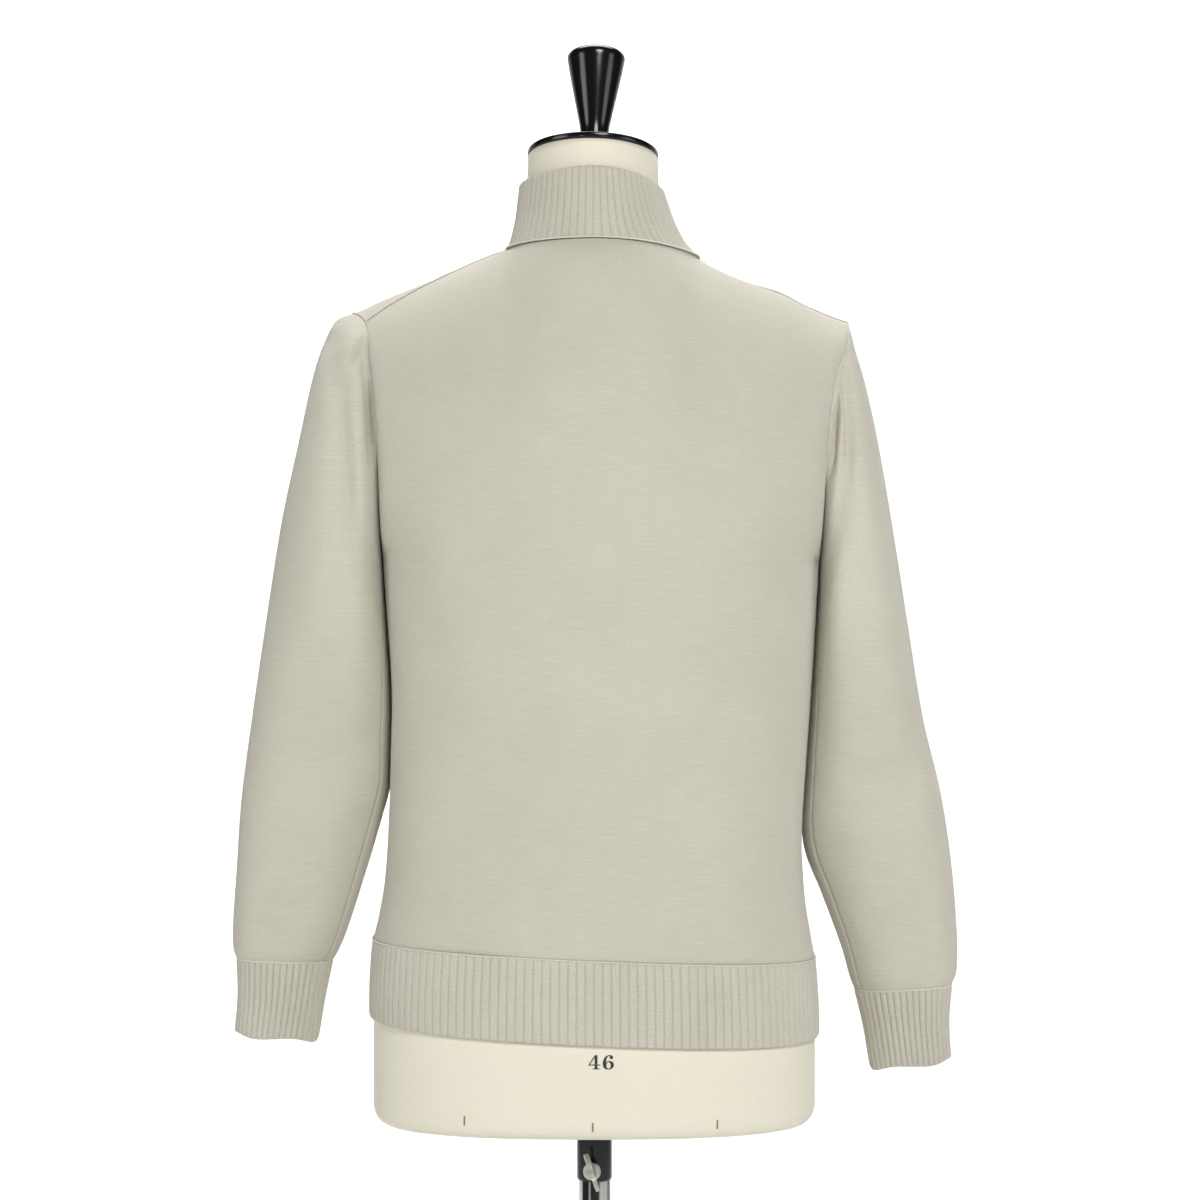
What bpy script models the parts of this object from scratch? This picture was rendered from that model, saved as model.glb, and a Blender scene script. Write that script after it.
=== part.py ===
"""Ribbed knit cardigan, closed, on a limbless tailor's dress form with a pole stand.

Frame: +Z up, floor at z = 0, origin under the centre of the round base.
The wearer's left is +X and the wearer's back is +Y. Metres.

The trunk of the garment is one surface in two halves, back and front. A point of it
has a column (0 at the middle, 1 at the side seam or armhole) and a height:
-1 hem edge, 0 top of the hem rib, 1 armpit, 2 shoulder seam or neck edge.
The dress form is that surface again, set inwards by its ease.
"""

import math
from collections import namedtuple

import bmesh
import bpy
from mathutils import Vector

OBJECT_NAME = "cardigan_on_dress_form"

# cloth
WALL = 0.0018
RIB_WALL = 0.0024
RIB_RISE = 0.0010
SEAM_GAP = 0.0003
NECK_GAP = 0.0006

# trunk of the garment
HEM_LEVEL = 0.879
RIB_LEVEL = 0.942
ARMPIT_LEVEL = 1.265
LEAN_LOW = 0.043
LEAN_HIGH = 0.020
HEM_SAG = 0.004
BLADE_SWELL = 0.007
CHEST_SWELL = 0.008
NECK_ARCH_END = 68.0
SEAM_LEAN = 0.7
EDGE_POWER = 7

# mesh steps
NECK_COLUMNS = 5
SHOULDER_COLUMNS = 6
TRUNK_ROWS = 7
YOKE_ROWS = 9
SLEEVE_ROWS = 16
SLEEVE_SPREAD = 1.35
BAND_ROWS = 20
COLLAR_BANDS = 2

# ribs
HEM_PITCH = 0.0070
CUFF_PITCH = 0.0056
COLLAR_PITCH = 0.0062
RIB_SHARP = 20.0

BAND_HALF = 0.0150
BAND_TUCK = 0.0015
BAND_RIBS = 4

BUTTON_RADIUS = 0.0090
BUTTON_THICK = 0.0030
BUTTON_HEIGHTS = (-0.50, 0.22, 0.53, 0.84, 1.18, 1.62, 2.45)

BACK = 1
FRONT = -1
LEFT = 1
RIGHT = -1

# Horizontal sections of the closed garment, seen from outside, by height of the cloth.
BodyRow = namedtuple("BodyRow", "level left right back front square")
BODY = (
    BodyRow(0.870, 0.1862, 0.1860, 0.1190, 0.1130, 2.5),
    BodyRow(0.905, 0.1860, 0.1854, 0.1190, 0.1130, 2.5),
    BodyRow(0.942, 0.1832, 0.1826, 0.1180, 0.1130, 2.5),
    BodyRow(0.960, 0.1792, 0.1796, 0.1180, 0.1135, 2.5),
    BodyRow(0.990, 0.1742, 0.1748, 0.1175, 0.1140, 2.5),
    BodyRow(1.040, 0.1708, 0.1722, 0.1165, 0.1145, 2.5),
    BodyRow(1.100, 0.1690, 0.1757, 0.1160, 0.1150, 2.5),
    BodyRow(1.150, 0.1684, 0.1794, 0.1165, 0.1165, 2.5),
    BodyRow(1.210, 0.1722, 0.1832, 0.1185, 0.1200, 2.5),
    BodyRow(1.265, 0.1762, 0.1868, 0.1210, 0.1230, 2.4),
)

# How far the dress form lies inside the garment's outer face.
EaseRow = namedtuple("EaseRow", "level side back front")
EASE = (
    EaseRow(0.870, 0.0028, 0.0034, 0.0070),
    EaseRow(0.905, 0.0038, 0.0038, 0.0072),
    EaseRow(0.942, 0.0042, 0.0050, 0.0080),
    EaseRow(1.000, 0.0060, 0.0090, 0.0090),
    EaseRow(1.060, 0.0160, 0.0190, 0.0120),
    EaseRow(1.120, 0.0220, 0.0240, 0.0150),
    EaseRow(1.180, 0.0170, 0.0160, 0.0110),
    EaseRow(1.265, 0.0045, 0.0040, 0.0072),
)
SHOULDER_EASE = 0.0024
NECK_EASE_BACK = 0.0034
NECK_EASE_FRONT = 0.0085

# Neck edge and collar, from the neck seam up: outer face of the rib.
NeckRow = namedtuple("NeckRow", "up left right back front z_left z_right z_back z_front")
COLLAR = (
    NeckRow(0.00, 0.0730, 0.0900, 0.0580, 0.0800, 1.5215, 1.5095, 1.5250, 1.4700),
    NeckRow(0.28, 0.0692, 0.0745, 0.0560, 0.0790, 1.5320, 1.5290, 1.5390, 1.4890),
    NeckRow(0.55, 0.0655, 0.0660, 0.0545, 0.0780, 1.5475, 1.5460, 1.5550, 1.5120),
    NeckRow(1.00, 0.0620, 0.0572, 0.0525, 0.0765, 1.5770, 1.5720, 1.5850, 1.5490),
)
NECK_MIDDLE = -0.008

# Neck of the dress form above the garment's neck seam.
FORM_NECK = (
    NeckRow(0.10, 0.0665, 0.0745, 0.0530, 0.0690, 1.5262, 1.5190, 1.5280, 1.4800),
    NeckRow(0.30, 0.0615, 0.0610, 0.0500, 0.0665, 1.5390, 1.5370, 1.5420, 1.5050),
    NeckRow(0.60, 0.0575, 0.0550, 0.0475, 0.0650, 1.5640, 1.5640, 1.5680, 1.5450),
    NeckRow(1.00, 0.0555, 0.0530, 0.0465, 0.0635, 1.5985, 1.5985, 1.6080, 1.5880),
)
NECK_TOP_SLOPE = 0.175
NECK_TOP_ROLL = 0.022

# Armhole loops: highest point, depth to the back and front, how far the middle is
# drawn in, where the shoulder seam meets them (degrees behind the top), and how far
# that seam is rounded up between the neck and the armhole.
Armhole = namedtuple("Armhole", "top_x top_z half_depth dish seam_angle bulge")
ARMHOLE = {
    LEFT: Armhole(0.2040, 1.4690, 0.0560, 0.0100, 24.0, 0.0034),
    RIGHT: Armhole(0.2110, 1.4618, 0.0540, 0.0015, 4.0, 0.0020),
}

# Rings of the sleeves below the armhole: outer and inner ends, depth and middle.
SleeveRow = namedtuple("SleeveRow", "along outer_x outer_z inner_x inner_z half_depth middle dish")
SLEEVE = {
    LEFT: (
        SleeveRow(0.04, 0.2170, 1.4630, 0.1700, 1.2600, 0.0600, -0.001, 0.0070),
        SleeveRow(0.08, 0.2255, 1.4460, 0.1700, 1.2500, 0.0630, -0.002, 0.0040),
        SleeveRow(0.15, 0.2345, 1.4150, 0.1690, 1.2320, 0.0640, -0.004, 0.0020),
        SleeveRow(0.25, 0.2460, 1.3620, 0.1680, 1.2050, 0.0640, -0.006, 0.0),
        SleeveRow(0.36, 0.2602, 1.2970, 0.1670, 1.1720, 0.0620, -0.008, 0.0),
        SleeveRow(0.48, 0.2735, 1.2150, 0.1670, 1.1300, 0.0560, -0.010, 0.0),
        SleeveRow(0.60, 0.2855, 1.1350, 0.1690, 1.0830, 0.0490, -0.012, 0.0),
        SleeveRow(0.72, 0.2948, 1.0650, 0.1800, 1.0400, 0.0430, -0.013, 0.0),
        SleeveRow(0.84, 0.2990, 1.0050, 0.1945, 0.9920, 0.0390, -0.013, 0.0),
        SleeveRow(0.94, 0.3022, 0.9560, 0.2080, 0.9510, 0.0360, -0.013, 0.0),
        SleeveRow(0.98, 0.3015, 0.9380, 0.2150, 0.9350, 0.0330, -0.013, 0.0),
        SleeveRow(1.00, 0.2988, 0.9310, 0.2190, 0.9290, 0.0300, -0.013, 0.0),
    ),
    RIGHT: (
        SleeveRow(0.04, 0.2135, 1.4510, 0.1800, 1.2540, 0.0590, -0.001, 0.0010),
        SleeveRow(0.08, 0.2162, 1.4400, 0.1800, 1.2430, 0.0620, -0.002, 0.0),
        SleeveRow(0.15, 0.2247, 1.4120, 0.1800, 1.2250, 0.0630, -0.004, 0.0),
        SleeveRow(0.25, 0.2357, 1.3620, 0.1790, 1.1980, 0.0640, -0.006, 0.0),
        SleeveRow(0.36, 0.2472, 1.2960, 0.1780, 1.1620, 0.0620, -0.008, 0.0),
        SleeveRow(0.48, 0.2610, 1.2110, 0.1760, 1.1160, 0.0560, -0.010, 0.0),
        SleeveRow(0.60, 0.2742, 1.1320, 0.1730, 1.0640, 0.0500, -0.012, 0.0),
        SleeveRow(0.72, 0.2885, 1.0730, 0.1755, 1.0220, 0.0440, -0.013, 0.0),
        SleeveRow(0.84, 0.2982, 1.0100, 0.1905, 0.9830, 0.0390, -0.013, 0.0),
        SleeveRow(0.94, 0.3030, 0.9480, 0.2070, 0.9380, 0.0360, -0.013, 0.0),
        SleeveRow(0.98, 0.3025, 0.9200, 0.2140, 0.9130, 0.0330, -0.013, 0.0),
        SleeveRow(1.00, 0.2985, 0.9090, 0.2175, 0.9050, 0.0300, -0.013, 0.0),
    ),
}
SLEEVE_CLEAR = 0.0006
SLEEVE_CALM = 0.045
CUFF = {
    LEFT: (
        SleeveRow(0.00, 0.2978, 0.9307, 0.2200, 0.9287, 0.0290, -0.013, 0.0),
        SleeveRow(0.45, 0.2968, 0.9010, 0.2262, 0.8990, 0.0262, -0.013, 0.0),
        SleeveRow(1.00, 0.2995, 0.8650, 0.2325, 0.8630, 0.0250, -0.014, 0.0),
    ),
    RIGHT: (
        SleeveRow(0.00, 0.2975, 0.9087, 0.2185, 0.9047, 0.0290, -0.013, 0.0),
        SleeveRow(0.45, 0.2952, 0.8800, 0.2255, 0.8760, 0.0262, -0.013, 0.0),
        SleeveRow(1.00, 0.2968, 0.8440, 0.2318, 0.8400, 0.0250, -0.014, 0.0),
    ),
}

# Largest soft folds: from and to in column and height, depth (- is a trough), width.
Fold = namedtuple("Fold", "across_0 along_0 across_1 along_1 depth width")
BACK_FOLDS = (
    Fold(-0.62, 0.00, -0.50, 1.20, -0.0022, 0.11),
    Fold(-0.28, 0.10, -0.20, 0.90, 0.0016, 0.12),
    Fold(0.08, 0.00, 0.12, 1.00, -0.0018, 0.12),
    Fold(0.44, 0.00, 0.36, 1.30, -0.0020, 0.11),
    Fold(0.76, 0.20, 0.70, 1.30, 0.0018, 0.09),
)
SLEEVE_FOLDS = {
    LEFT: (
        Fold(20.0, 0.04, 42.0, 0.34, -0.0040, 16.0),
        Fold(118.0, 0.05, 96.0, 0.26, -0.0045, 15.0),
        Fold(75.0, 0.08, 70.0, 0.32, 0.0025, 14.0),
        Fold(-60.0, 0.06, -80.0, 0.30, -0.0040, 16.0),
        Fold(160.0, 0.58, 60.0, 0.66, -0.0030, 18.0),
        Fold(-160.0, 0.52, -50.0, 0.64, -0.0035, 18.0),
    ),
    RIGHT: (
        Fold(48.0, 0.03, 60.0, 0.24, 0.0035, 13.0),
        Fold(84.0, 0.05, 84.0, 0.24, -0.0045, 14.0),
        Fold(22.0, 0.08, 40.0, 0.36, -0.0028, 15.0),
        Fold(-62.0, 0.06, -82.0, 0.28, -0.0042, 16.0),
        Fold(150.0, 0.66, 70.0, 0.72, -0.0035, 18.0),
        Fold(-155.0, 0.55, -45.0, 0.66, -0.0035, 18.0),
    ),
}

# dress form, neck furniture and stand
FORM_BOTTOM = 0.800
FORM_BOTTOM_ROWS = ((0.8000, 0.0100), (0.8025, 0.0045), (0.8085, 0.0010), (0.8180, 0.0))
FORM_LEVELS = (0.870, 0.920, 0.970, 1.030, 1.100, 1.170, 1.225)
CAP_THICK = 0.0055
CAP_RIM = 0.0006
CAP_STEPS = 40
KNOB_X = 0.0004
KNOB_PROFILE = (
    (0.0000, 0.0920), (0.0120, 0.0908), (0.0198, 0.0872), (0.0234, 0.0820),
    (0.0238, 0.0750), (0.0200, 0.0570), (0.0155, 0.0370), (0.0122, 0.0220),
    (0.0118, 0.0120), (0.0140, 0.0030), (0.0140, 0.0003), (0.0000, 0.0003),
)
POLE_RADIUS = 0.0135
SOCKET_RADIUS = 0.0150
SOCKET_BOTTOM = 0.7475
SCREW_X = 0.0021
SCREW_HEIGHT = 0.758
SCREW_RADIUS = 0.0073
SCREW_HEAD = 0.0100
WING_SIZE = (0.0042, 0.0090, 0.0320)
WING_TILT = 17.0
BASE_PROFILE = (
    (0.0000, 0.0460), (0.0200, 0.0460), (0.0225, 0.0430), (0.0240, 0.0220),
    (0.0400, 0.0165), (0.1600, 0.0120), (0.1700, 0.0060), (0.1690, 0.0000),
    (0.0000, 0.0000),
)
BASE_TOP = 0.0460


def smooth_row(table, key):
    """Values of a table at a key between its rows, on a smooth curve."""
    if key <= table[0][0]:
        return table[0]
    if key >= table[-1][0]:
        return table[-1]
    i = max(k for k in range(len(table) - 1) if table[k][0] <= key)
    low, high = table[i], table[i + 1]
    before = table[max(i - 1, 0)]
    after = table[min(i + 2, len(table) - 1)]
    span = high[0] - low[0]
    t = (key - low[0]) / span
    values = [key]
    for j in range(1, len(low)):
        slope_0 = (high[j] - before[j]) / (high[0] - before[0]) * span
        slope_1 = (after[j] - low[j]) / (after[0] - low[0]) * span
        values.append(
            (2 * t**3 - 3 * t**2 + 1) * low[j]
            + (t**3 - 2 * t**2 + t) * slope_0
            + (3 * t**2 - 2 * t**3) * high[j]
            + (t**3 - t**2) * slope_1
        )
    return type(low)(*values)


def mix(a, b, t):
    return a + (b - a) * t


def fold_height(folds, across, along, scale):
    """Sum of the soft folds at a place; each is a ridge or trough along a short line."""
    height = 0.0
    for fold in folds:
        start = Vector((fold.across_0, fold.along_0 * scale))
        line = Vector((fold.across_1, fold.along_1 * scale)) - start
        place = Vector((across, along * scale)) - start
        t = place.dot(line) / line.length_squared
        away = (place - line * min(max(t, 0.0), 1.0)).length
        height += fold.depth * math.exp(-((away / fold.width) ** 2))
    return height


def ease_at(level, inset):
    """Side, back and front ease of the form at a height, or none for the garment."""
    if not inset:
        return 0.0, 0.0, 0.0
    row = smooth_row(EASE, level)
    return row.side, row.back, row.front


def trunk_point(side, face, share, level, inset=False):
    """Point of a horizontal section; share is its part of the half width."""
    row = smooth_row(BODY, level)
    ease_side, ease_back, ease_front = ease_at(level, inset)
    half = (row.left if side == LEFT else row.right) - ease_side
    deep = row.back - ease_back if face == BACK else row.front - ease_front
    x = side * half * share
    y = face * deep * max(1.0 - share**row.square, 0.0) ** (1.0 / row.square)
    up = min(max((level - RIB_LEVEL) / (ARMPIT_LEVEL - RIB_LEVEL), 0.0), 1.0)
    z = level
    if not inset or level >= ARMPIT_LEVEL:
        z += mix(LEAN_LOW, LEAN_HIGH, up) * x
    if face == BACK and level < RIB_LEVEL and not inset:
        z -= HEM_SAG * y / deep * (RIB_LEVEL - level) / (RIB_LEVEL - HEM_LEVEL)
    return Vector((x, y, z))


def ring_point(row, turn, shrink_back=0.0, shrink_front=0.0):
    """Point of a neck or collar ring; turn is 0 at the back, 90 at the left side."""
    turn = math.radians(turn)
    sine, cosine = math.sin(turn), math.cos(turn)
    half = row.left if sine >= 0 else row.right
    z_side = row.z_left if sine >= 0 else row.z_right
    if cosine >= 0:
        deep = row.back - NECK_MIDDLE - shrink_back
        z_end = row.z_back
    else:
        deep = row.front + NECK_MIDDLE - shrink_front
        z_end = row.z_front
    shrink = mix(shrink_back, shrink_front, max(-cosine, 0.0))
    x = (half - shrink) * sine
    y = NECK_MIDDLE + deep * cosine
    z = z_side * sine**2 + z_end * cosine**2 - shrink
    return Vector((x, y, z))


def neck_edge(turn, inset=False):
    """Neck seam of the garment, or the form's neck root just inside it."""
    if inset:
        return ring_point(COLLAR[0], turn, NECK_EASE_BACK, NECK_EASE_FRONT)
    return ring_point(COLLAR[0], turn)


def armhole_point(side, angle, inset=False):
    """Point of the armhole loop; 0 is the top, +90 the back, -90 the front."""
    hole = ARMHOLE[side]
    ease = SHOULDER_EASE if inset else 0.0
    under = trunk_point(side, BACK, 1.0, ARMPIT_LEVEL, inset)
    angle = math.radians(angle)
    up = (1.0 + math.cos(angle)) / 2.0
    x = mix(abs(under.x), hole.top_x - ease, up) - hole.dish * math.sin(angle) ** 2
    y = (hole.half_depth - ease) * math.sin(angle)
    z = mix(under.z, hole.top_z - ease, up)
    return Vector((side * x, y, z))


def armhole_angle(side, face, rise):
    """Angle on the armhole loop for a yoke row, 0 at the underarm, 1 at the seam."""
    if face == BACK:
        return mix(180.0, ARMHOLE[side].seam_angle, rise)
    return mix(-180.0, ARMHOLE[side].seam_angle, rise)


def column_at(side, face, column, start, half, inset):
    """Where a column stands: share of the half width, its top, and its arch's end."""
    neck = neck_edge(side * 90.0, inset)
    tip = armhole_point(side, ARMHOLE[side].seam_angle, inset)
    neck_share = abs(neck.x / tip.x)
    neck_part = NECK_COLUMNS / (NECK_COLUMNS + SHOULDER_COLUMNS)
    lean = ARMHOLE[side].seam_angle * SEAM_LEAN
    if column <= neck_part:
        t = column / neck_part
        share = math.sin(mix(math.asin(start / half), math.asin(neck_share), t))
        turn = mix(math.degrees(math.asin(start / abs(neck.x))), 90.0, t)
        turn = turn if face == BACK else 180.0 - turn
        return share, neck_edge(side * turn, inset), mix(NECK_ARCH_END, 90.0, t * t)
    t = (column - neck_part) / (1.0 - neck_part)
    share = math.sin(mix(math.asin(neck_share), math.pi / 2, t))
    along = (share - neck_share) / (1.0 - neck_share)
    top = neck.lerp(tip, along)
    top.z += 4.0 * ARMHOLE[side].bulge * along * (1.0 - along)
    return share, top, 90.0 - face * lean * along


def yoke_arch(side, face, share, top, end, rise, inset):
    """Column of the trunk above the armpit, arching over to its top."""
    foot = trunk_point(side, face, share, ARMPIT_LEVEL, inset)
    angle = math.radians(end) * rise
    stop = math.radians(end)
    back_off = (math.cos(angle) - math.cos(stop)) / (1.0 - math.cos(stop))
    lift = math.sin(angle) / math.sin(stop)
    swell = BLADE_SWELL if face == BACK else CHEST_SWELL
    swell *= math.sin(math.pi * rise) * (1.0 - share**2)
    x = mix(foot.x, top.x, math.sin(rise * math.pi / 2))
    y = top.y + (foot.y - top.y) * back_off + face * swell
    z = foot.z + (top.z - foot.z) * lift
    return Vector((x, y, z))


def garment_point(side, face, column, height, start=0.0, inset=False):
    """Point of the trunk's surface at a column and a height."""
    if height <= 1.0:
        if height < 0.0:
            level = mix(RIB_LEVEL, HEM_LEVEL, -height)
        else:
            level = mix(RIB_LEVEL, ARMPIT_LEVEL, height)
        row = smooth_row(BODY, level)
        half = row.left if side == LEFT else row.right
        share = column_at(side, face, column, start, half, inset)[0]
        return trunk_point(side, face, share, level, inset)
    rise = height - 1.0
    half = abs(trunk_point(side, face, 1.0, ARMPIT_LEVEL, inset).x)
    share, top, end = column_at(side, face, column, start, half, inset)
    point = yoke_arch(side, face, share, top, end, rise, inset)
    tip = armhole_point(side, ARMHOLE[side].seam_angle, inset)
    last_end = column_at(side, face, 1.0, start, half, inset)[2]
    last = yoke_arch(side, face, 1.0, tip, last_end, rise, inset)
    edge = armhole_point(side, armhole_angle(side, face, rise), inset)
    return point + (edge - last) * share**EDGE_POWER


def front_point(x, height, inset=False):
    """Point of the front by its distance from the middle, up to the collar's top."""
    side = LEFT if x >= 0 else RIGHT
    if height <= 2.0:
        return garment_point(side, FRONT, 0.0, height, abs(x), inset)
    row = smooth_row(COLLAR, height - 2.0)
    half = row.left if side == LEFT else row.right
    turn = 180.0 - math.degrees(math.asin(abs(x) / half))
    return ring_point(row, side * turn)


def trunk_side(side, z):
    """Half width of the garment at a height of the room, on one side."""
    up = min(max((z - RIB_LEVEL) / (ARMPIT_LEVEL - RIB_LEVEL), 0.0), 1.0)
    row = smooth_row(BODY, z)
    half = row.left if side == LEFT else row.right
    row = smooth_row(BODY, z - side * half * mix(LEAN_LOW, LEAN_HIGH, up))
    return row.left if side == LEFT else row.right


def sleeve_rows(side):
    """Rings of a sleeve, the armhole loop first, each kept just clear of the trunk."""
    hole = ARMHOLE[side]
    under = trunk_point(side, BACK, 1.0, ARMPIT_LEVEL)
    rows = [
        SleeveRow(
            0.0, hole.top_x, hole.top_z, abs(under.x), under.z, hole.half_depth, 0.0, hole.dish
        )
    ]
    for row in SLEEVE[side]:
        clear = trunk_side(side, row.inner_z) + SLEEVE_CLEAR
        rows.append(row._replace(inner_x=max(row.inner_x, clear)))
    return rows


def tube_point(side, row, angle, out=0.0):
    """Point of a sleeve or cuff ring; 0 is outside, +90 the back, 180 inside."""
    angle = math.radians(angle)
    sine, cosine = math.sin(angle), math.cos(angle)
    outer = Vector((row.outer_x, 0.0, row.outer_z))
    inner = Vector((row.inner_x, 0.0, row.inner_z))
    reach = outer - inner
    point = (outer + inner) / 2 + reach / 2 * cosine + reach.normalized() * out * cosine
    point.x -= row.dish * sine**2
    point.y = row.middle + (row.half_depth + out) * sine
    return Vector((side * point.x, point.y, point.z))


def sleeve_point(side, along, angle):
    """Point of a sleeve with its soft folds, 0 at the armhole and 1 at the cuff."""
    row = smooth_row(sleeve_rows(side), along)
    lift = fold_height(SLEEVE_FOLDS[side], angle, along, 180.0)
    lift *= min(along / SLEEVE_CALM, (1.0 - along) / SLEEVE_CALM, 1.0)
    return tube_point(side, row, angle, lift)


def even_steps(curve, start, stop, count):
    """Parameters that divide a curve into lengths of the same size."""
    samples = 360
    places = [mix(start, stop, i / samples) for i in range(samples + 1)]
    points = [curve(place) for place in places]
    run = [0.0]
    for a, b in zip(points, points[1:]):
        run.append(run[-1] + (b - a).length)
    steps = []
    j = 0
    for i in range(count + 1):
        want = run[-1] * i / count
        while j < samples - 1 and run[j + 1] < want:
            j += 1
        t = (want - run[j]) / (run[j + 1] - run[j])
        steps.append(mix(places[j], places[j + 1], t))
    return steps


def curve_length(curve, start, stop):
    points = [curve(mix(start, stop, i / 200)) for i in range(201)]
    return sum((b - a).length for a, b in zip(points, points[1:]))


def material(name, colour, roughness, metallic=0.0):
    made = bpy.data.materials.new(name)
    made.use_nodes = True
    shader = made.node_tree.nodes["Principled BSDF"]
    shader.inputs["Base Color"].default_value = (*colour, 1.0)
    shader.inputs["Roughness"].default_value = roughness
    shader.inputs["Metallic"].default_value = metallic
    return made


def add_object(name, mesh_data, look, collection):
    made = bpy.data.objects.new(name, mesh_data)
    made.data.materials.append(look)
    collection.objects.link(made)
    return made


def mesh_from(name, bm, sharp=40.0):
    bmesh.ops.recalc_face_normals(bm, faces=bm.faces)
    mesh_data = bpy.data.meshes.new(name)
    bm.to_mesh(mesh_data)
    bm.free()
    mesh_data.shade_smooth()
    mesh_data.set_sharp_from_angle(angle=math.radians(sharp))
    return mesh_data


def cloth_sheet(name, surface, rim, columns, rows, look, collection):
    """Sheet of jersey: a grid laid over a surface, then extruded inwards as a wall."""
    bm = bmesh.new()
    bmesh.ops.create_grid(bm, x_segments=columns, y_segments=rows, size=1.0)
    places = {}
    for vert in bm.verts:
        column = round((vert.co.x + 1.0) / 2.0 * columns)
        row = round((vert.co.y + 1.0) / 2.0 * rows)
        vert.co = surface(column, row)
        places[tuple(vert.co)] = (column, row)
    bmesh.ops.remove_doubles(bm, verts=bm.verts, dist=0.00002)
    middle = sum((vert.co for vert in bm.verts), Vector()) / len(bm.verts)
    away = sum(face.normal.dot(face.calc_center_median() - middle) for face in bm.faces)
    if away < 0.0:
        bmesh.ops.reverse_faces(bm, faces=bm.faces)
    bm.normal_update()
    inner = {}
    for vert in bm.verts:
        across = rim(*places[tuple(vert.co)], vert.normal.copy())
        inner[tuple(vert.co)] = vert.co - across.normalized() * WALL
    shell = bmesh.ops.extrude_face_region(bm, geom=bm.faces[:], use_keep_orig=True)
    for vert in shell["geom"]:
        if isinstance(vert, bmesh.types.BMVert):
            vert.co = inner[tuple(vert.co)]
    return add_object(name, mesh_from(name, bm), look, collection)


def armhole_rim(side, angle, normal):
    """Direction of the cut edge at the armhole: level with the loop where it is high."""
    hole = ARMHOLE[side]
    under = trunk_point(side, BACK, 1.0, ARMPIT_LEVEL)
    angle = math.radians(angle)
    tall = (hole.top_z - under.z) / 2
    round_out = Vector((0.0, math.sin(angle) / hole.half_depth, math.cos(angle) / tall))
    share = min(max(0.5 + math.cos(angle), 0.0), 1.0)
    return normal.lerp(round_out.normalized(), share)


def ribbed_strip(name, stations, closed, look, collection):
    """Loft through cross-sections; each is its outer points and its inner points."""
    bm = bmesh.new()
    loops = []
    for outer, inner in stations:
        loops.append([bm.verts.new(point) for point in outer + inner[::-1]])
    size = len(loops[0])
    pairs = list(zip(loops, loops[1:]))
    if closed:
        pairs.append((loops[-1], loops[0]))
    for a, b in pairs:
        for i in range(size):
            j = (i + 1) % size
            bm.faces.new((a[i], a[j], b[j], b[i]))
    if not closed:
        for loop in (loops[0], loops[-1]):
            for i in range(size // 2 - 1):
                bm.faces.new((loop[i], loop[i + 1], loop[size - 2 - i], loop[size - 1 - i]))
    return add_object(name, mesh_from(name, bm, RIB_SHARP), look, collection)


def turned(name, profile, look, collection, steps):
    """Turned piece: an outline run down its outer side and screwed round Z."""
    bm = bmesh.new()
    verts = [bm.verts.new((radius, 0.0, height)) for radius, height in profile]
    for a, b in zip(verts, verts[1:]):
        bm.edges.new((a, b))
    mesh_data = bpy.data.meshes.new(name)
    bm.to_mesh(mesh_data)
    bm.free()
    made = add_object(name, mesh_data, look, collection)
    screw = made.modifiers.new("turn", "SCREW")
    screw.steps = steps
    screw.render_steps = steps
    screw.use_merge_vertices = True
    screw.merge_threshold = 0.0001
    screw.use_smooth_shade = True
    return made


def panel_place(side, column, row):
    """Side, column share and height of a step of a panel's grid."""
    half_columns = NECK_COLUMNS + SHOULDER_COLUMNS
    if side is None:
        column -= half_columns
        side = LEFT if column >= 0 else RIGHT
    if row <= TRUNK_ROWS:
        height = row / TRUNK_ROWS
    else:
        height = 1.0 + (row - TRUNK_ROWS) / YOKE_ROWS
    return side, abs(column) / half_columns, height


def build_panel(name, face, side, start, look, collection):
    """Back, or one front: the hem rib's top to the neck, shoulder and armhole."""
    half_columns = NECK_COLUMNS + SHOULDER_COLUMNS
    neck_part = NECK_COLUMNS / half_columns

    def surface(column, row):
        which, part, height = panel_place(side, column, row)
        point = garment_point(which, face, part, height, start)
        point.y += face * SEAM_GAP / 2
        if face == BACK:
            fade = min(height / 0.1, (2.0 - height) / 0.3, (1.0 - part) / 0.1, 1.0)
            point.y += fold_height(BACK_FOLDS, which * part, height, 1.0) * fade
        return point

    def rim(column, row, normal):
        which, part, height = panel_place(side, column, row)
        if part == 1.0 and height > 1.0:
            normal = armhole_rim(which, armhole_angle(which, face, height - 1.0), normal)
        if part == 1.0 and height <= 1.0 or height == 2.0 and part >= neck_part:
            normal.y = 0.0
        if height == 0.0:
            normal.z = 0.0
        if column == 0 and side is not None:
            normal.x = 0.0
        return normal

    columns = half_columns if side is not None else 2 * half_columns
    cloth_sheet(name, surface, rim, columns, TRUNK_ROWS + YOKE_ROWS, look, collection)


def build_panels(look, collection):
    start = BAND_HALF + SEAM_GAP
    build_panel("back", BACK, None, 0.0, look, collection)
    build_panel("front_left", FRONT, LEFT, start, look, collection)
    build_panel("front_right", FRONT, RIGHT, start, look, collection)


def sleeve_angle(side, step):
    """Angles round a sleeve, matching the rows of the panels at the armhole."""
    if step <= YOKE_ROWS:
        return armhole_angle(side, FRONT, step / YOKE_ROWS)
    return armhole_angle(side, BACK, 2.0 - step / YOKE_ROWS)


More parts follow.
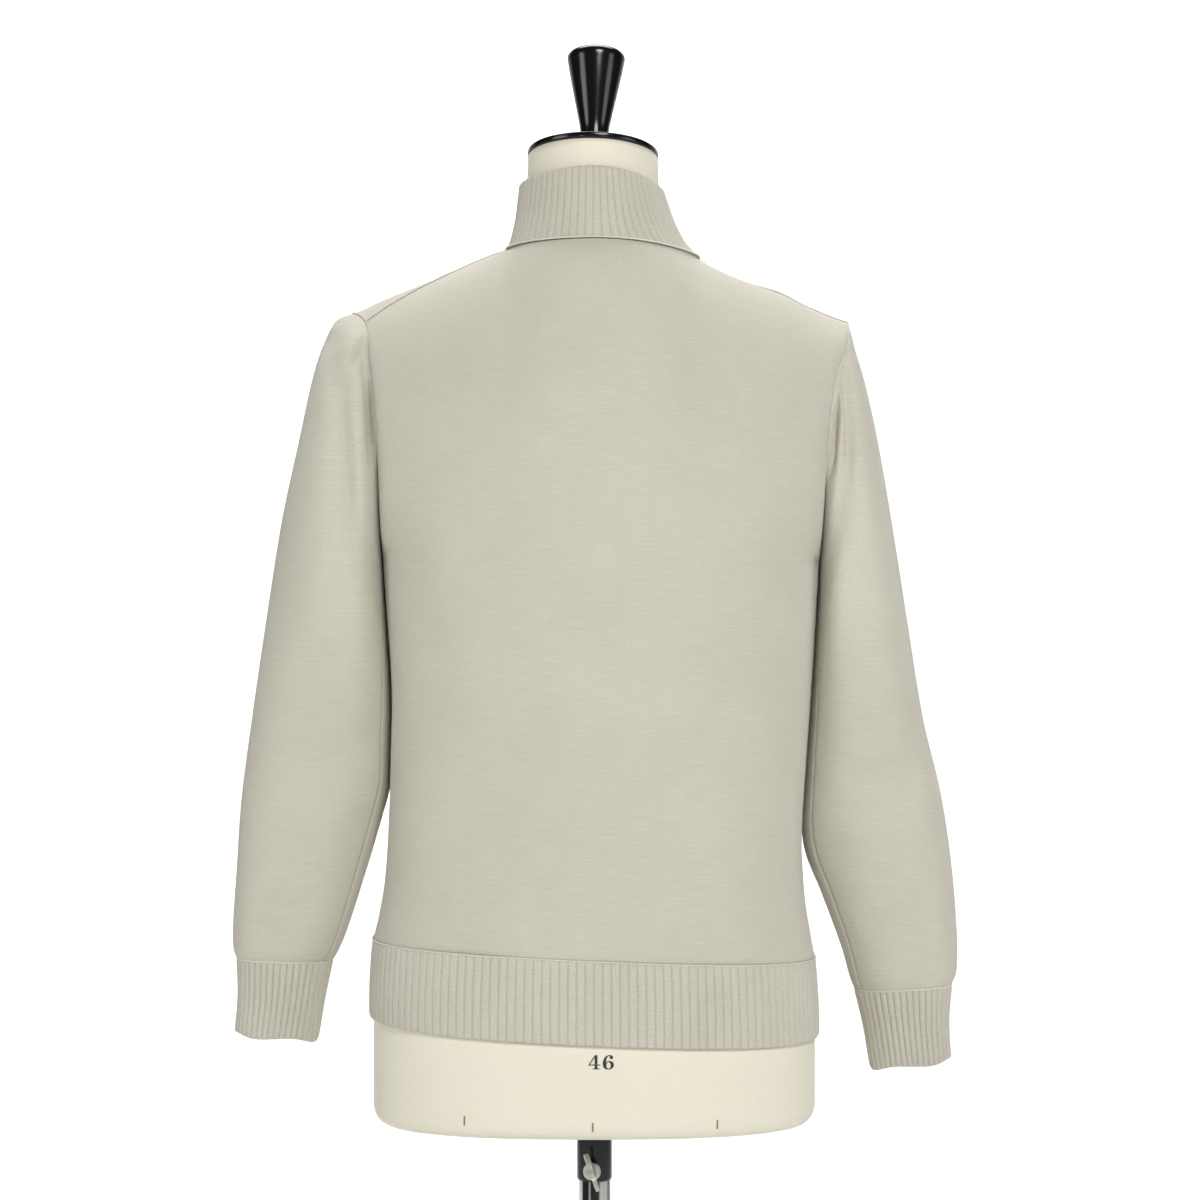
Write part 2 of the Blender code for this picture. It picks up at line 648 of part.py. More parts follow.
def build_sleeves(look, collection):
    for side, name in ((LEFT, "sleeve_left"), (RIGHT, "sleeve_right")):

        def surface(column, row, side=side):
            along = (row / SLEEVE_ROWS) ** SLEEVE_SPREAD
            point = sleeve_point(side, along, sleeve_angle(side, column))
            point.x += side * SEAM_GAP
            return point

        def rim(column, row, normal, side=side):
            if row == 0:
                return armhole_rim(side, sleeve_angle(side, column), normal)
            if row == SLEEVE_ROWS:
                normal.z = 0.0
            return normal

        cloth_sheet(name, surface, rim, 2 * YOKE_ROWS, SLEEVE_ROWS, look, collection)


def build_cuffs(look, collection):
    for side, name in ((LEFT, "cuff_left"), (RIGHT, "cuff_right")):
        rows = CUFF[side]

        def ring(angle):
            return tube_point(side, rows[0], angle)

        count = 2 * round(curve_length(ring, 0.0, 360.0) / CUFF_PITCH)
        stations = []
        for i, angle in enumerate(even_steps(ring, 0.0, 360.0, count)[:-1]):
            rise = RIB_RISE * (i % 2)
            outer = [tube_point(side, row, angle, rise) for row in rows]
            inner = [tube_point(side, row, angle, -WALL) for row in rows]
            for point in outer + inner:
                point.x += side * SEAM_GAP
            stations.append((outer, inner))
        ribbed_strip(name, stations, True, look, collection)


def hem_station(side, face, part, out, start):
    """Bottom and top point of the hem rib; part runs from its start to the side seam."""
    points = []
    for level in (HEM_LEVEL, RIB_LEVEL - SEAM_GAP):
        row = smooth_row(BODY, level)
        half = row.left if side == LEFT else row.right
        share = mix(start / half, 1.0, part)
        point = trunk_point(side, face, share, level)
        slope = Vector((point.x / row.left**2, point.y / row.back**2, 0.0))
        if part == 1.0:
            slope.y = 0.0
        if part == 0.0:
            slope.x = 0.0
        points.append(point + slope.normalized() * out)
    return points


def build_hem(look, collection):
    """Hem rib in three lengths: back, and a front on each side of the bands."""
    pieces = (
        ("hem_back", BACK, None, 0.0),
        ("hem_front_left", FRONT, LEFT, BAND_HALF + SEAM_GAP),
        ("hem_front_right", FRONT, RIGHT, BAND_HALF + SEAM_GAP),
    )
    for name, face, side, start in pieces:

        def station(turn, out, side=side, face=face, start=start):
            which = side if side is not None else (LEFT if turn >= 0 else RIGHT)
            part = min(math.sin(math.radians(abs(turn))), 1.0)
            return hem_station(which, face, part, out, start)

        def edge(turn, station=station):
            return station(turn, 0.0)[0]

        first = -90.0 if side is None else 0.0
        count = 2 * round(curve_length(edge, first, 90.0) / HEM_PITCH)
        stations = []
        for i, turn in enumerate(even_steps(edge, first, 90.0, count)):
            outer = station(turn, RIB_RISE * (i % 2))
            inner = station(turn, -WALL)
            for point in outer + inner:
                point.y += face * SEAM_GAP / 2
            stations.append((outer, inner))
        ribbed_strip(name, stations, False, look, collection)


def collar_turn(row, place):
    """Turn for a place along the collar: 0 back, 1 side seam of the neck, 2 its end."""
    side = LEFT if place >= 0 else RIGHT
    if abs(place) <= 1.0:
        return 90.0 * place
    half = row.left if side == LEFT else row.right
    end = 180.0 - math.degrees(math.asin((BAND_HALF + SEAM_GAP) / half))
    return side * mix(90.0, end, abs(place) - 1.0)


def collar_point(place, up, out):
    """Point of the collar; its lowest row runs straight from column to column."""
    row = smooth_row(COLLAR, up)
    point = ring_point(row, collar_turn(row, place))
    if up == 0.0:
        low = min(math.floor(place * NECK_COLUMNS), 2 * NECK_COLUMNS - 1)
        start = ring_point(row, collar_turn(row, low / NECK_COLUMNS))
        stop = ring_point(row, collar_turn(row, (low + 1) / NECK_COLUMNS))
        point = start.lerp(stop, place * NECK_COLUMNS - low)
        point.z += NECK_GAP
    if abs(place) == 2.0:
        return point + Vector((0.0, -out, 0.0))
    flat = Vector((point.x, point.y - NECK_MIDDLE, 0.0))
    return point + flat.normalized() * out


def build_collar(look, collection):
    """High rib collar from band to band, standing a little off the neck."""

    def curve(place):
        return collar_point(place, 0.55, 0.0)

    count = 2 * round(curve_length(curve, -2.0, 2.0) / COLLAR_PITCH)
    stations = []
    for i, place in enumerate(even_steps(curve, -2.0, 2.0, count)):
        rise = RIB_RISE * (i % 2)
        ups = [k / COLLAR_BANDS for k in range(COLLAR_BANDS + 1)]
        outer = [collar_point(place, up, rise) for up in ups]
        inner = [collar_point(place, up, -WALL) for up in ups]
        stations.append((outer, inner))
    ribbed_strip("collar", stations, False, look, collection)


def front_normal(x, height):
    """Outward direction of the front near its middle."""
    low = front_point(x, max(height - 0.04, -1.0))
    high = front_point(x, min(height + 0.04, 3.0))
    up = high - low
    return Vector((0.0, -up.z, up.y)).normalized()


def band_station(places, height, outs):
    return [front_point(x, height) + front_normal(x, height) * out for x, out in zip(places, outs)]


def build_bands(look, collection):
    """Front bands: the wearer's left lies over the right, both in vertical rib."""
    steps = 2 * BAND_RIBS
    places = [mix(-BAND_HALF, BAND_HALF, i / steps) for i in range(steps + 1)]
    outs = [RIB_RISE * (i % 2) for i in range(steps + 1)]
    heights = [mix(-1.0, 3.0, i / BAND_ROWS) for i in range(BAND_ROWS + 1)]
    stations = []
    for height in heights:
        outer = band_station(places, height, outs)
        inner = band_station(places, height, [-RIB_WALL] * len(places))
        stations.append((outer, inner))
    ribbed_strip("band_left", stations, False, look, collection)
    places = [-BAND_HALF, 0.0, BAND_HALF - BAND_TUCK]
    top = -RIB_WALL - SEAM_GAP
    stations = []
    for height in heights:
        outer = band_station(places, height, [top] * 3)
        inner = band_station(places, height, [top - RIB_WALL] * 3)
        stations.append((outer, inner))
    ribbed_strip("band_right", stations, False, look, collection)


def build_buttons(look, collection):
    """Seven plain buttons down the outer band, each with a raised rim."""
    thick, radius = BUTTON_THICK, BUTTON_RADIUS
    profile = (
        (0.0, thick * 0.70), (radius * 0.70, thick * 0.70), (radius * 0.85, thick),
        (radius, thick * 0.75), (radius * 0.90, 0.0), (0.0, 0.0),
    )
    for number, height in enumerate(BUTTON_HEIGHTS, start=1):
        normal = front_normal(0.0, height)
        seat = front_point(0.0, height) + normal * (RIB_RISE + SEAM_GAP)
        button = turned(f"button_{number}", profile, look, collection, steps=14)
        button.rotation_euler = Vector((0.0, 0.0, 1.0)).rotation_difference(normal).to_euler()
        button.location = seat


def form_ring(height, level=None, shrink=0.0):
    """Closed ring of the form: back from right to left, then front from left to right."""
    half_columns = NECK_COLUMNS + SHOULDER_COLUMNS
    ring = []
    for face in (BACK, FRONT):
        for column in range(-half_columns, half_columns + 1):
            column *= face
            side = LEFT if column >= 0 else RIGHT
            part = abs(column) / half_columns
            if level is None:
                point = garment_point(side, face, part, height, 0.0, True)
            else:
                half = smooth_row(BODY, level).left
                share = column_at(side, face, part, 0.0, half, True)[0]
                point = trunk_point(side, face, share, level, True)
                scale_x = 1.0 - shrink / half
                scale_y = 1.0 - shrink / smooth_row(BODY, level).back
                point = Vector((point.x * scale_x, point.y * scale_y, point.z))
            ring.append(point)
    return ring


def form_neck_ring(row):
    """Ring of the form's neck on the same columns as its root; the last one is flat."""
    steps = 4 * NECK_COLUMNS
    ring = [ring_point(row, -90.0 + 360.0 * i / steps) for i in range(steps)]
    if row == FORM_NECK[-1]:
        for point in ring:
            point.z = neck_top_height(point)
    return ring


def neck_top_height(point):
    """Height of the neck's flat top, which slopes to the front and a little sideways."""
    rise = NECK_TOP_SLOPE * (point.y - NECK_MIDDLE) + NECK_TOP_ROLL * point.x
    return FORM_NECK[-1].z_left + rise


def form_neck_root():
    steps = 4 * NECK_COLUMNS
    return [neck_edge(-90.0 + 360.0 * i / steps, True) for i in range(steps)]


def bridge(bm, low, high):
    for i in range(len(low)):
        j = (i + 1) % len(low)
        bm.faces.new((low[i], low[j], high[j], high[i]))


def build_form(look, collection):
    """Padded trunk of the dress form with its neck, one smooth closed body."""
    bm = bmesh.new()
    rings = [form_ring(0.0, level, shrink) for level, shrink in FORM_BOTTOM_ROWS]
    rings += [form_ring(0.0, level) for level in FORM_LEVELS]
    rings += [form_ring(1.0 + i / YOKE_ROWS) for i in range(YOKE_ROWS + 1)]
    verts = [[bm.verts.new(point) for point in ring] for ring in rings]
    for low, high in zip(verts, verts[1:]):
        bridge(bm, low, high)
    necks = [form_neck_root()] + [form_neck_ring(row) for row in FORM_NECK]
    neck_verts = [[bm.verts.new(point) for point in ring] for ring in necks]
    for low, high in zip(neck_verts, neck_verts[1:]):
        bridge(bm, low, high)
    bmesh.ops.remove_doubles(bm, verts=bm.verts, dist=0.00005)
    edges = [edge for edge in bm.edges if edge.is_boundary]
    bmesh.ops.holes_fill(bm, edges=edges, sides=0)
    return add_object("form_torso", mesh_from("form_torso", bm), look, collection)


def build_neck_cap(look, collection):
    """Black wooden cap on the sloping top of the neck."""
    bm = bmesh.new()
    rings = []
    row = FORM_NECK[-1]
    for lift, grow in ((SEAM_GAP, CAP_RIM), (CAP_THICK * 0.7, CAP_RIM), (CAP_THICK, -0.0015)):
        ring = []
        for i in range(CAP_STEPS):
            point = ring_point(row, i * 360.0 / CAP_STEPS)
            flat = Vector((point.x, point.y - NECK_MIDDLE, 0.0)).normalized()
            point += flat * grow
            point.z = neck_top_height(point) + lift
            ring.append(bm.verts.new(point))
        rings.append(ring)
    for low, high in zip(rings, rings[1:]):
        bridge(bm, low, high)
    bm.faces.new(rings[0])
    bm.faces.new(rings[-1])
    return add_object("neck_cap", mesh_from("neck_cap", bm), look, collection)


def build_stand(black, iron, chrome, collection):
    """Knob, socket, pole, thumbscrew and weighted base."""
    knob = turned("neck_knob", KNOB_PROFILE, black, collection, steps=20)
    foot = Vector((KNOB_X, NECK_MIDDLE, 0.0))
    foot.z = neck_top_height(foot) + CAP_THICK
    square_to_cap = Vector((-NECK_TOP_ROLL, -NECK_TOP_SLOPE, 1.0))
    knob.rotation_euler = square_to_cap.to_track_quat("Z", "Y").to_euler()
    knob.location = foot
    low, high, radius = SOCKET_BOTTOM, FORM_BOTTOM - SEAM_GAP, SOCKET_RADIUS
    hole = POLE_RADIUS + SEAM_GAP
    socket = (
        (hole, high), (radius, high), (radius, low + 0.001), (radius - 0.0008, low), (hole, low),
        (hole, high),
    )
    turned("socket", socket, black, collection, steps=28)
    top, foot = FORM_BOTTOM - 2 * SEAM_GAP, BASE_TOP + SEAM_GAP
    pole = ((0.0, top), (POLE_RADIUS, top), (POLE_RADIUS, foot), (0.0, foot))
    turned("pole", pole, chrome, collection, steps=28)
    turned("base", BASE_PROFILE, iron, collection, steps=44)
    screw = (
        (0.0, SCREW_HEAD), (SCREW_RADIUS * 0.9, SCREW_HEAD), (SCREW_RADIUS, SCREW_HEAD - 0.0007),
        (SCREW_RADIUS, 0.0065), (0.0042, 0.0055), (0.0038, SEAM_GAP), (0.0, SEAM_GAP),
    )
    made = turned("thumbscrew", screw, chrome, collection, steps=20)
    made.rotation_euler = (math.radians(-90.0), 0.0, 0.0)
    made.location = (SCREW_X, SOCKET_RADIUS, SCREW_HEIGHT)
    bm = bmesh.new()
    bmesh.ops.create_cube(bm, size=1.0)
    bmesh.ops.scale(bm, vec=WING_SIZE, verts=bm.verts)
    wing = add_object("thumbscrew_wing", mesh_from("thumbscrew_wing", bm), chrome, collection)
    soften = wing.modifiers.new("edges", "BEVEL")
    soften.width = 0.0008
    soften.segments = 2
    wing.rotation_euler = (0.0, math.radians(WING_TILT), 0.0)
    wing.location = (SCREW_X, SOCKET_RADIUS + SCREW_HEAD + SEAM_GAP + WING_SIZE[1] / 2, SCREW_HEIGHT)


def build():
    for old in list(bpy.data.objects):
        bpy.data.objects.remove(old, do_unlink=True)
    collection = bpy.data.collections.new(OBJECT_NAME)
    bpy.context.scene.collection.children.link(collection)
    jersey = material("jersey", (0.59, 0.565, 0.50), 0.9)
    rib = material("rib", (0.55, 0.53, 0.45), 0.9)
    cotton = material("form_cotton", (0.82, 0.78, 0.66), 0.85)
    black = material("black_lacquer", (0.012, 0.012, 0.012), 0.18)
    iron = material("black_iron", (0.015, 0.015, 0.016), 0.35)
    chrome = material("chrome", (0.75, 0.75, 0.76), 0.12, 1.0)
    horn = material("button_horn", (0.42, 0.38, 0.31), 0.4)
    build_panels(jersey, collection)
    build_sleeves(jersey, collection)
    build_cuffs(rib, collection)
    build_hem(rib, collection)
    build_collar(rib, collection)
    build_bands(rib, collection)
    build_buttons(horn, collection)
    build_form(cotton, collection)
    build_neck_cap(black, collection)
    build_stand(black, iron, chrome, collection)


build()
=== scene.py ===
"""Looks of the ribbed cardigan on its dress form.

Metres, +Z up. The wearer's left is +X and the wearer's back is +Y, which is the side
the camera sees. UV maps on cloth are in metres, measured along the cloth.
"""

import math

import bmesh
import bpy
import numpy as np
from mathutils import Matrix, Vector


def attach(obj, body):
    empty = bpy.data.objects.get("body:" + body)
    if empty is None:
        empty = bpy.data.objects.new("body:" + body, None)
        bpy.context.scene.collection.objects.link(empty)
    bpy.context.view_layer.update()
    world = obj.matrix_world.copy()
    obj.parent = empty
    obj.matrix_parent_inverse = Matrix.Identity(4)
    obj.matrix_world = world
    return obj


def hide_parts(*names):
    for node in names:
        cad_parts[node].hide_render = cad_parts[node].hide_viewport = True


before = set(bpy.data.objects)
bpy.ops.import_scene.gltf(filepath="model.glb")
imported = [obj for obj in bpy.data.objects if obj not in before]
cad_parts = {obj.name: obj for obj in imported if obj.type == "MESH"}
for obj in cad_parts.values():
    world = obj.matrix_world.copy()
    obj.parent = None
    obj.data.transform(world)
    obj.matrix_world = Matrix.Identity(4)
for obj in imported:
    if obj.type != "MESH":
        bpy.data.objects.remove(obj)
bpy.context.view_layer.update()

# --- Camera ---------------------------------------------------------------------------
# Level, square to the wearer's back, and far enough off for little perspective. The
# frame is one metre high at the form's middle.
CAMERA_DISTANCE = 2.600
CAMERA_LENS = 93.6
LOOK_AT = (-0.0046, 1.230)

camera_data = bpy.data.cameras.new("camera")
camera_data.sensor_width = 36.0
camera_data.lens = CAMERA_LENS
camera = bpy.data.objects.new("camera", camera_data)
camera.location = (LOOK_AT[0], CAMERA_DISTANCE, LOOK_AT[1])
camera.rotation_euler = (math.radians(90.0), 0.0, math.radians(180.0))
bpy.context.scene.collection.objects.link(camera)
bpy.context.scene.camera = camera

# --- Dress form -----------------------------------------------------------------------
# A padded card trunk under a tight cream cotton cover, closed below and cut off on a
# slope at the neck. It carries the garment, so both are drawn from the same sections.
BACK, FRONT, LEFT, RIGHT = 1, -1, 1, -1
HEM_LEVEL, RIB_LEVEL, ARMPIT_LEVEL = 0.879, 0.942, 1.265
LEAN_LOW, LEAN_HIGH = 0.043, 0.020
HEM_SAG = 0.004
BLADE_SWELL, CHEST_SWELL = 0.007, 0.008
NECK_ARCH_END = 68.0
SEAM_LEAN = 0.7
EDGE_POWER = 7
NECK_PART = 5 / 11
NECK_MIDDLE = -0.008
WALL = 0.0018


def mix(a, b, t):
    return a + (b - a) * t


def smooth_line(places, values):
    """Smooth curve through values at places, to be read at any places between them."""
    places, values = np.array(places, float), np.array(values, float)
    slopes = np.empty_like(values)
    slopes[1:-1] = (values[2:] - values[:-2]) / (places[2:] - places[:-2])
    slopes[0] = (values[1] - values[0]) / (places[1] - places[0])
    slopes[-1] = (values[-1] - values[-2]) / (places[-1] - places[-2])

    def at(place):
        place = np.clip(place, places[0], places[-1])
        i = np.clip(np.searchsorted(places, place, side="right") - 1, 0, len(places) - 2)
        span = places[i + 1] - places[i]
        t = (place - places[i]) / span
        return (
            (2 * t**3 - 3 * t**2 + 1) * values[i]
            + (t**3 - 2 * t**2 + t) * span * slopes[i]
            + (3 * t**2 - 2 * t**3) * values[i + 1]
            + (t**3 - t**2) * span * slopes[i + 1]
        )

    return at


def lines(names, table):
    """One smooth line for each named column of a table, along its first column."""
    columns = list(zip(*table))
    return {name: smooth_line(columns[0], column) for name, column in zip(names, columns[1:])}


# horizontal sections of the closed garment: level, left, right, back, front
BODY = lines(
    ("left", "right", "back", "front"),
    (
        (0.870, 0.1862, 0.1860, 0.1190, 0.1130),
        (0.905, 0.1860, 0.1854, 0.1190, 0.1130),
        (0.942, 0.1832, 0.1826, 0.1180, 0.1130),
        (0.960, 0.1792, 0.1796, 0.1180, 0.1135),
        (0.990, 0.1742, 0.1748, 0.1175, 0.1140),
        (1.040, 0.1708, 0.1722, 0.1165, 0.1145),
        (1.100, 0.1690, 0.1757, 0.1160, 0.1150),
        (1.150, 0.1684, 0.1794, 0.1165, 0.1165),
        (1.210, 0.1722, 0.1832, 0.1185, 0.1200),
        (1.265, 0.1762, 0.1868, 0.1210, 0.1230),
    ),
)
SQUARE = smooth_line((0.870, 1.210, 1.265), (2.5, 2.5, 2.4))

# how far the form lies inside the garment: level, side, back, front
EASE = lines(
    ("side", "back", "front"),
    (
        (0.870, 0.0028, 0.0034, 0.0070),
        (0.905, 0.0038, 0.0038, 0.0072),
        (0.942, 0.0042, 0.0050, 0.0080),
        (1.000, 0.0060, 0.0090, 0.0090),
        (1.060, 0.0160, 0.0190, 0.0120),
        (1.120, 0.0220, 0.0240, 0.0150),
        (1.180, 0.0170, 0.0160, 0.0110),
        (1.265, 0.0045, 0.0040, 0.0072),
    ),
)
SHOULDER_EASE = 0.0030
NECK_EASE_BACK, NECK_EASE_FRONT = 0.0034, 0.0085

RING_NAMES = ("left", "right", "back", "front", "z_left", "z_right", "z_back", "z_front")
COLLAR = lines(
    RING_NAMES,
    (
        (0.00, 0.0722, 0.0862, 0.0580, 0.0800, 1.5222, 1.5150, 1.5250, 1.4700),
        (0.28, 0.0690, 0.0745, 0.0560, 0.0790, 1.5320, 1.5290, 1.5385, 1.4890),
        (0.55, 0.0655, 0.0660, 0.0545, 0.0780, 1.5475, 1.5460, 1.5550, 1.5120),
        (1.00, 0.0620, 0.0572, 0.0525, 0.0765, 1.5770, 1.5720, 1.5850, 1.5490),
    ),
)
FORM_NECK = lines(
    RING_NAMES,
    (
        (0.00, 0.0688, 0.0806, 0.0546, 0.0715, 1.5187, 1.5100, 1.5216, 1.4640),
        (0.10, 0.0665, 0.0735, 0.0530, 0.0690, 1.5262, 1.5190, 1.5280, 1.4800),
        (0.30, 0.0615, 0.0610, 0.0500, 0.0665, 1.5390, 1.5370, 1.5420, 1.5050),
        (0.60, 0.0575, 0.0550, 0.0475, 0.0650, 1.5640, 1.5640, 1.5680, 1.5450),
        (1.00, 0.0555, 0.0530, 0.0465, 0.0635, 1.5985, 1.5985, 1.6080, 1.5880),
    ),
)
NECK_TOP_SLOPE, NECK_TOP_ROLL = 0.175, 0.022

# armhole loops: top, depth, angle of the shoulder seam, and how far the loop is pulled
# towards the neck at angles from the top round the back to the underarm
ARMHOLE = {
    LEFT: {
        "top_x": 0.2040, "top_z": 1.4690, "half_depth": 0.0560, "seam": 24.0,
        "pull": smooth_line(
            (-180, -90, -20, 0, 26, 45, 90, 140, 180),
            (0.000, 0.010, 0.003, 0.003, 0.0150, 0.0145, 0.0125, 0.004, 0.000),
        ),
    },
    RIGHT: {
        "top_x": 0.2110, "top_z": 1.4605, "half_depth": 0.0540, "seam": 4.0,
        "pull": smooth_line(
            (-180, -90, 0, 38, 58, 90, 140, 180),
            (0.000, 0.0015, 0.000, 0.0005, 0.0070, 0.0080, 0.003, 0.000),
        ),
    },
}
# height of the shoulder line over a straight one, from the neck to the armhole
SHOULDER_LINE = {
    LEFT: smooth_line((0.0, 0.12, 0.35, 0.60, 0.85, 1.0), (0.0, 0.0026, 0.0046, 0.0054, 0.0036, 0.0)),
    RIGHT: smooth_line(
        (0.0, 0.085, 0.14, 0.28, 0.53, 0.60, 0.70, 0.86, 1.0),
        (0.0, -0.0025, -0.0038, -0.0035, 0.0007, 0.0004, -0.0010, -0.0012, 0.0),
    ),
}


def section_point(side, face, share, level, inset):
    """Points on horizontal sections; share is their part of the half width."""
    ease = {name: EASE[name](level) * inset for name in EASE}
    half = BODY["left" if side == LEFT else "right"](level) - ease["side"]
    name = "back" if face == BACK else "front"
    deep = BODY[name](level) - ease[name]
    square = SQUARE(level)
    x = side * half * share
    y = face * deep * np.maximum(1.0 - share**square, 0.0) ** (1.0 / square)
    up = np.clip((level - RIB_LEVEL) / (ARMPIT_LEVEL - RIB_LEVEL), 0.0, 1.0)
    lean = mix(LEAN_LOW, LEAN_HIGH, up) * (1.0 if not inset else level >= ARMPIT_LEVEL)
    z = level + lean * x
    if face == BACK and not inset:
        z = z - HEM_SAG * y / deep * np.maximum(RIB_LEVEL - level, 0.0) / (RIB_LEVEL - HEM_LEVEL)
    return np.stack(np.broadcast_arrays(x, y, z), axis=-1)


def ring_point(ring, up, turn, shrink_back=0.0, shrink_front=0.0):
    """Points on a neck or collar ring; turn is 0 at the back, 90 at the left side."""
    sine, cosine = np.sin(np.radians(turn)), np.cos(np.radians(turn))
    left, behind = sine >= 0, cosine >= 0
    half = np.where(left, ring["left"](up), ring["right"](up))
    z_side = np.where(left, ring["z_left"](up), ring["z_right"](up))
    z_end = np.where(behind, ring["z_back"](up), ring["z_front"](up))
    deep_back = ring["back"](up) - NECK_MIDDLE - shrink_back
    deep_front = ring["front"](up) + NECK_MIDDLE - shrink_front
    shrink = mix(shrink_back, shrink_front, np.maximum(-cosine, 0.0))
    x = (half - shrink) * sine
    y = NECK_MIDDLE + np.where(behind, deep_back, deep_front) * cosine
    z = z_side * sine**2 + z_end * cosine**2 - shrink
    return np.stack(np.broadcast_arrays(x, y, z), axis=-1)


def neck_edge(turn, inset):
    if inset:
        return ring_point(COLLAR, 0.0, turn, NECK_EASE_BACK, NECK_EASE_FRONT)
    return ring_point(COLLAR, 0.0, turn)


def armhole_point(side, angle, inset=False):
    """Points of the armhole loop; 0 is the top, +90 the back, -90 the front."""
    hole = ARMHOLE[side]
    ease = SHOULDER_EASE if inset else 0.0
    under = section_point(side, BACK, 1.0, ARMPIT_LEVEL, inset)
    turn = np.radians(angle)
    up = (1.0 + np.cos(turn)) / 2.0
    x = mix(abs(under[0]), hole["top_x"] - ease, up) - hole["pull"](angle)
    y = (hole["half_depth"] - ease) * np.sin(turn)
    z = mix(under[2], hole["top_z"] - ease, up)
    return np.stack(np.broadcast_arrays(side * x, y, z), axis=-1)


def body_arch(side, face, share, top, end, rise, inset):
    """Points of the trunk above the armpit, arching over to the neck or shoulder."""
    foot = section_point(side, face, share, np.full_like(share, ARMPIT_LEVEL), inset)
    stop = np.radians(end)
    angle = stop * rise
    back_off = (np.cos(angle) - np.cos(stop)) / (1.0 - np.cos(stop))
    lift = np.sin(angle) / np.sin(stop)
    swell = (BLADE_SWELL if face == BACK else CHEST_SWELL) * np.sin(np.pi * rise)
    x = mix(foot[..., 0], top[..., 0], np.sin(rise * np.pi / 2))
    y = top[..., 1] + (foot[..., 1] - top[..., 1]) * back_off + face * swell * (1.0 - share**2)
    z = foot[..., 2] + (top[..., 2] - foot[..., 2]) * lift
    return np.stack((x, y, z), axis=-1)


def column_share(side, column, inset, from_angle=0.0):
    """Share of the half width for columns: even in angle, with one at the neck point."""
    tip = armhole_point(side, ARMHOLE[side]["seam"], inset)
    at_neck = math.asin(abs(neck_edge(side * 90.0, inset)[0] / tip[0]))
    inner = np.clip(column / NECK_PART, 0.0, 1.0)
    outer = np.clip((column - NECK_PART) / (1.0 - NECK_PART), 0.0, 1.0)
    angle = np.where(column <= NECK_PART, mix(from_angle, at_neck, inner), mix(at_neck, math.pi / 2, outer))
    return np.sin(angle)


def body_point(side, face, column, height, start=0.0, inset=False):
    """Points of the trunk: column 0 is the middle and 1 the side; height -1 is the hem
    edge, 0 the top of the hem rib, 1 the armpit, 2 the shoulder seam or neck edge."""
    column, height = np.broadcast_arrays(np.asarray(column, float), np.asarray(height, float))
    level = np.where(
        height < 0.0,
        mix(RIB_LEVEL, HEM_LEVEL, -height),
        mix(RIB_LEVEL, ARMPIT_LEVEL, np.minimum(height, 1.0)),
    )
    half = BODY["left" if side == LEFT else "right"](level)
    neck = neck_edge(side * 90.0, inset)
    seam = ARMHOLE[side]["seam"]
    tip = armhole_point(side, seam, inset)
    neck_share = abs(neck[0] / tip[0])
    by_neck = column <= NECK_PART
    inner = np.clip(column / NECK_PART, 0.0, 1.0)
    share = column_share(side, column, inset, np.arcsin(start / half))
    low = section_point(side, face, share, level, inset)
    turn = mix(np.degrees(np.arcsin(start / abs(neck[0]))), 90.0, inner)
    turn = turn if face == BACK else 180.0 - turn
    along = np.clip((share - neck_share) / (1.0 - neck_share), 0.0, 1.0)
    shoulder = neck + (tip - neck) * along[..., None]
    shoulder[..., 2] += SHOULDER_LINE[side](along)
    top = np.where(by_neck[..., None], neck_edge(side * turn, inset), shoulder)
    end = np.where(
        by_neck, mix(NECK_ARCH_END, 90.0, inner**2), 90.0 - face * seam * SEAM_LEAN * along
    )
    rise = np.clip(height - 1.0, 0.0, 1.0)
    high = body_arch(side, face, share, top, end, rise, inset)
    one = np.ones_like(share)
    last = body_arch(side, face, one, tip * one[..., None], 90.0 - face * seam * SEAM_LEAN, rise, inset)
    edge = armhole_point(side, mix(face * 180.0, seam, rise), inset)
    high += (edge - last) * (share**EDGE_POWER)[..., None]
    return np.where((height <= 1.0)[..., None], low, high)


def cloth_mesh(name, points, uv, outwards_from, closed=False):
    """Mesh object from a grid of points, rows by columns, facing away from a place."""
    rows, columns = points.shape[0] - 1, points.shape[1] - 1
    bm = bmesh.new()
    bmesh.ops.create_grid(bm, x_segments=columns, y_segments=rows, size=1.0)
    mesh = bpy.data.meshes.new(name)
    bm.to_mesh(mesh)
    bm.free()
    flat = np.empty(len(mesh.vertices) * 3)
    mesh.vertices.foreach_get("co", flat)
    flat = flat.reshape(-1, 3)
    column = np.rint((flat[:, 0] + 1.0) / 2.0 * columns).astype(int)
    row = np.rint((flat[:, 1] + 1.0) / 2.0 * rows).astype(int)
    mesh.vertices.foreach_set("co", points[row, column].reshape(-1))
    corner = np.empty(len(mesh.loops), int)
    mesh.loops.foreach_get("vertex_index", corner)
    layer = mesh.uv_layers.new(name="cloth")
    layer.uv.foreach_set("vector", uv[row[corner], column[corner]].reshape(-1))
    bm = bmesh.new()
    bm.from_mesh(mesh)
    if closed:
        bmesh.ops.remove_doubles(bm, verts=bm.verts, dist=0.00001)
    bm.normal_update()
    centre = Vector(outwards_from)
    facing = sum(f.normal.dot(f.calc_center_median() - centre) * f.calc_area() for f in bm.faces)
    if facing < 0.0:
        bmesh.ops.reverse_faces(bm, faces=bm.faces)
    bm.to_mesh(mesh)
    bm.free()
    mesh.shade_smooth()
    made = bpy.data.objects.new(name, mesh)
    bpy.context.scene.collection.objects.link(made)
    return made


